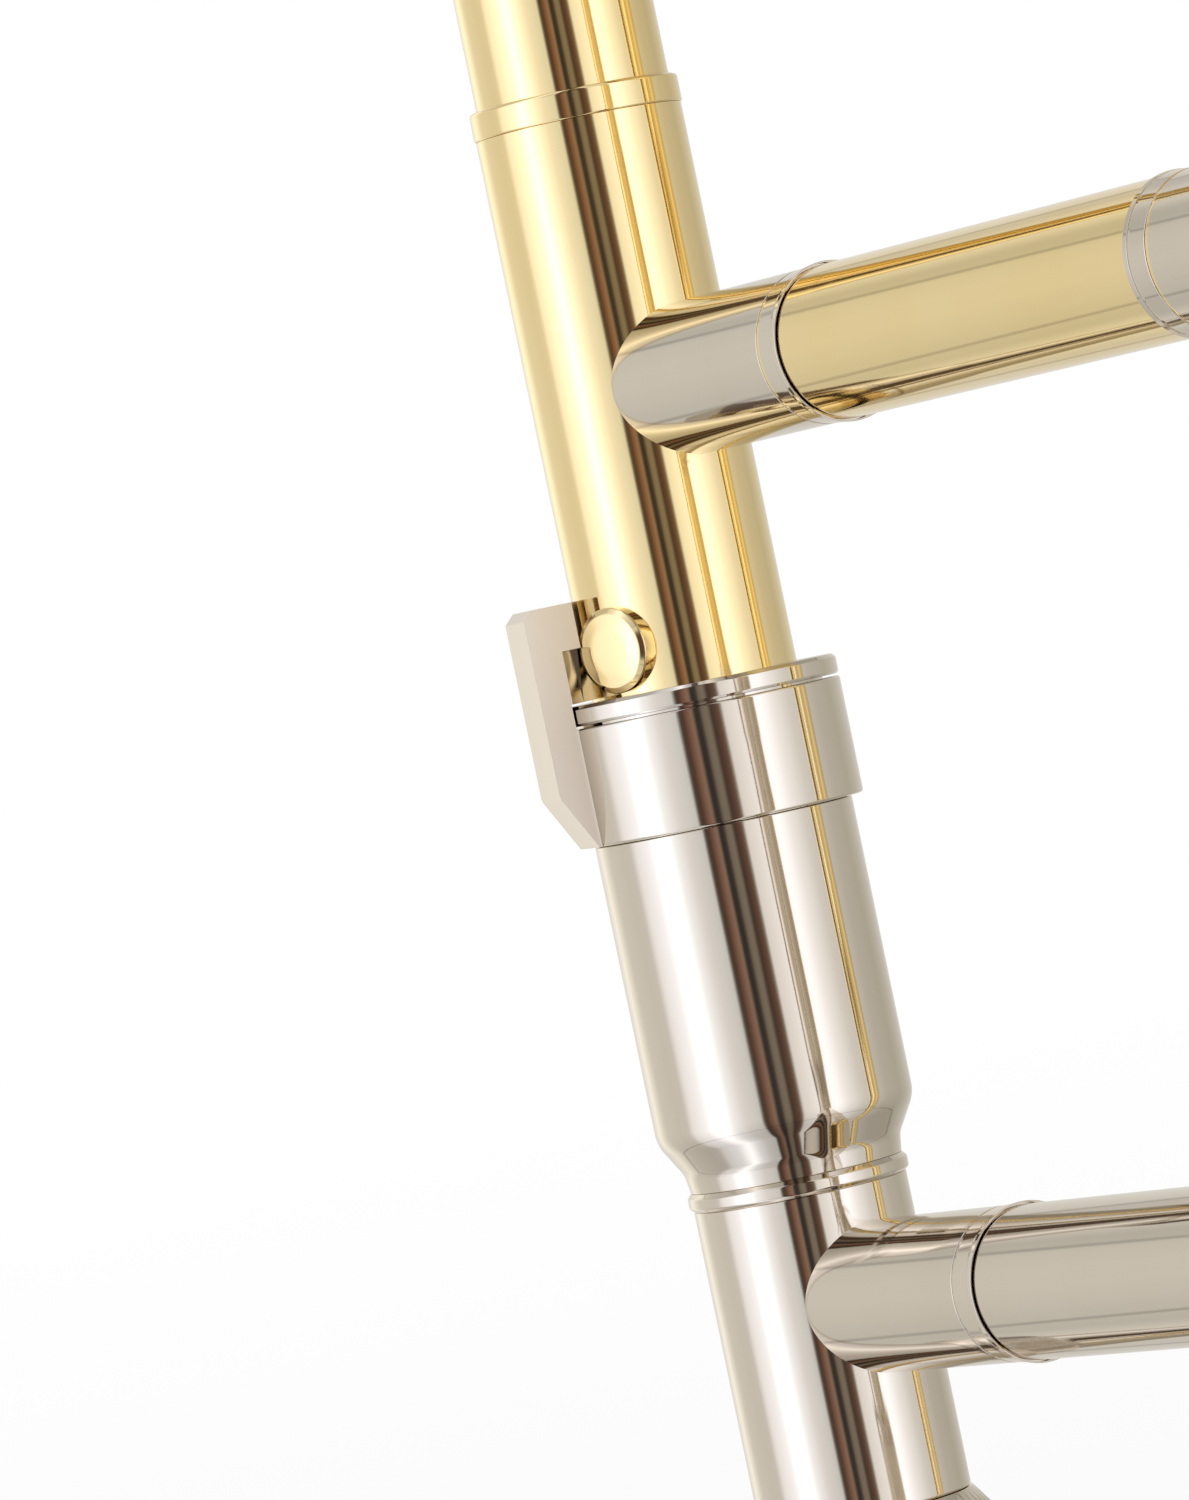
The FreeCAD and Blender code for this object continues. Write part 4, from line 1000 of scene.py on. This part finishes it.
# The studio round the object, by the angle from the camera's side: a cool soft box on the
# left, a dark gap with brown timber where the camera stands, a second box on the right and
# pale walls behind.
WALLS = (
    (-180, (0.80, 0.78, 0.74)), (-165, (0.88, 0.86, 0.82)), (-148, (1.25, 1.22, 1.15)),
    (-130, (0.84, 0.83, 0.79)), (-106, (0.78, 0.77, 0.74)), (-96, (0.80, 0.79, 0.78)),
    (-89, (1.15, 1.16, 1.26)), (-74, (1.35, 1.40, 1.58)), (-60, (2.10, 2.15, 2.40)),
    (-47, (1.28, 1.34, 1.50)), (-35, (0.98, 0.98, 1.04)), (-23, (0.82, 0.85, 0.90)),
    (-21, (0.80, 0.82, 0.86)), (-19, (0.10, 0.085, 0.07)), (-16, (0.09, 0.05, 0.04)),
    (-11.5, (0.26, 0.14, 0.10)), (-8, (0.32, 0.22, 0.17)), (-6, (0.05, 0.04, 0.04)),
    (-2, (0.05, 0.045, 0.04)), (0.5, (0.24, 0.20, 0.165)), (4.5, (0.26, 0.22, 0.175)),
    (7.3, (0.07, 0.045, 0.04)), (12.5, (0.16, 0.09, 0.065)), (15, (0.22, 0.17, 0.13)),
    (17, (0.98, 0.98, 1.00)), (25, (1.10, 1.10, 1.14)), (47, (1.55, 1.60, 1.80)),
    (60, (1.18, 1.20, 1.28)), (74, (0.89, 0.89, 0.90)), (106, (0.62, 0.60, 0.56)),
    (128, (0.55, 0.53, 0.47)), (180, (0.80, 0.78, 0.74)))
# How bright the walls are from straight down to straight up.
HEIGHTS = ((0.0, 0.72), (0.15, 0.72), (0.225, 0.78), (0.247, 0.82), (0.25, 0.6), (0.26, 0.6),
           (0.263, 0.84), (0.36, 0.93), (0.5, 1.0), (0.63, 0.99), (0.715, 0.93), (0.737, 0.88),
           (0.74, 0.6), (0.75, 0.6), (0.753, 0.78), (0.775, 0.74), (0.85, 0.78), (1.0, 0.70))


def world():
    """White studio that is lit by its own walls and looks plain white to the camera."""
    sky = bpy.data.worlds.new("studio")
    bpy.context.scene.world = sky
    sky.use_nodes = True
    tree = sky.node_tree
    tree.nodes.clear()
    way = add(tree, "ShaderNodeTexCoord").outputs["Generated"]

    def along(direction):
        dot = add(tree, "ShaderNodeVectorMath", operation="DOT_PRODUCT")
        tree.links.new(way, dot.inputs[0])
        dot.inputs[1].default_value = direction
        return dot.outputs["Value"]

    def share_of(source, low, high):
        share = add(tree, "ShaderNodeMapRange")
        tree.links.new(source, share.inputs["Value"])
        share.inputs["From Min"].default_value = low
        share.inputs["From Max"].default_value = high
        return share.outputs["Result"]

    turn = add(tree, "ShaderNodeMath", operation="ARCTAN2")
    tree.links.new(along(RIGHT), turn.inputs[0])
    tree.links.new(along(TOWARDS), turn.inputs[1])
    walls = ramp(tree, share_of(turn.outputs[0], -math.pi, math.pi),
                 [((angle + 180) / 360, tuple(part / GLOW for part in glow))
                  for angle, glow in WALLS])
    heights = ramp(tree, share_of(along((0, 0, 1)), -1, 1),
                   [(place, (level / HEIGHT_GLOW,) * 3) for place, level in HEIGHTS])
    product = add(tree, "ShaderNodeVectorMath", operation="MULTIPLY")
    tree.links.new(walls, product.inputs[0])
    tree.links.new(heights, product.inputs[1])
    lit = add(tree, "ShaderNodeBackground")
    lit.inputs["Strength"].default_value = GLOW * HEIGHT_GLOW
    tree.links.new(product.outputs[0], lit.inputs["Color"])
    seen = add(tree, "ShaderNodeBackground")
    tree.links.new(ramp(tree, share_of(along((0, 0, 1)), -1, 1),
                        [(place, (level,) * 3) for place, level in BACKDROP]),
                   seen.inputs["Color"])
    path = add(tree, "ShaderNodeLightPath")
    mix = add(tree, "ShaderNodeMixShader")
    tree.links.new(path.outputs["Is Camera Ray"], mix.inputs[0])
    tree.links.new(lit.outputs[0], mix.inputs[1])
    tree.links.new(seen.outputs[0], mix.inputs[2])
    end = add(tree, "ShaderNodeOutputWorld")
    tree.links.new(mix.outputs[0], end.inputs["Surface"])


inner_slide()
neck_and_barrel()
lock_and_rings()
lock_stud()
lock_hook()
brace("inner", GRIP_R, 0.0)
brace("outer", SLEEVE_R, BRACE_UP)
receiver_end()
bell_coupling()
outer_slide()
crook()
water_key()
bell()
bell_section()
tuning_slide()
camera()
world()
bpy.context.scene.view_settings.view_transform = "Standard"
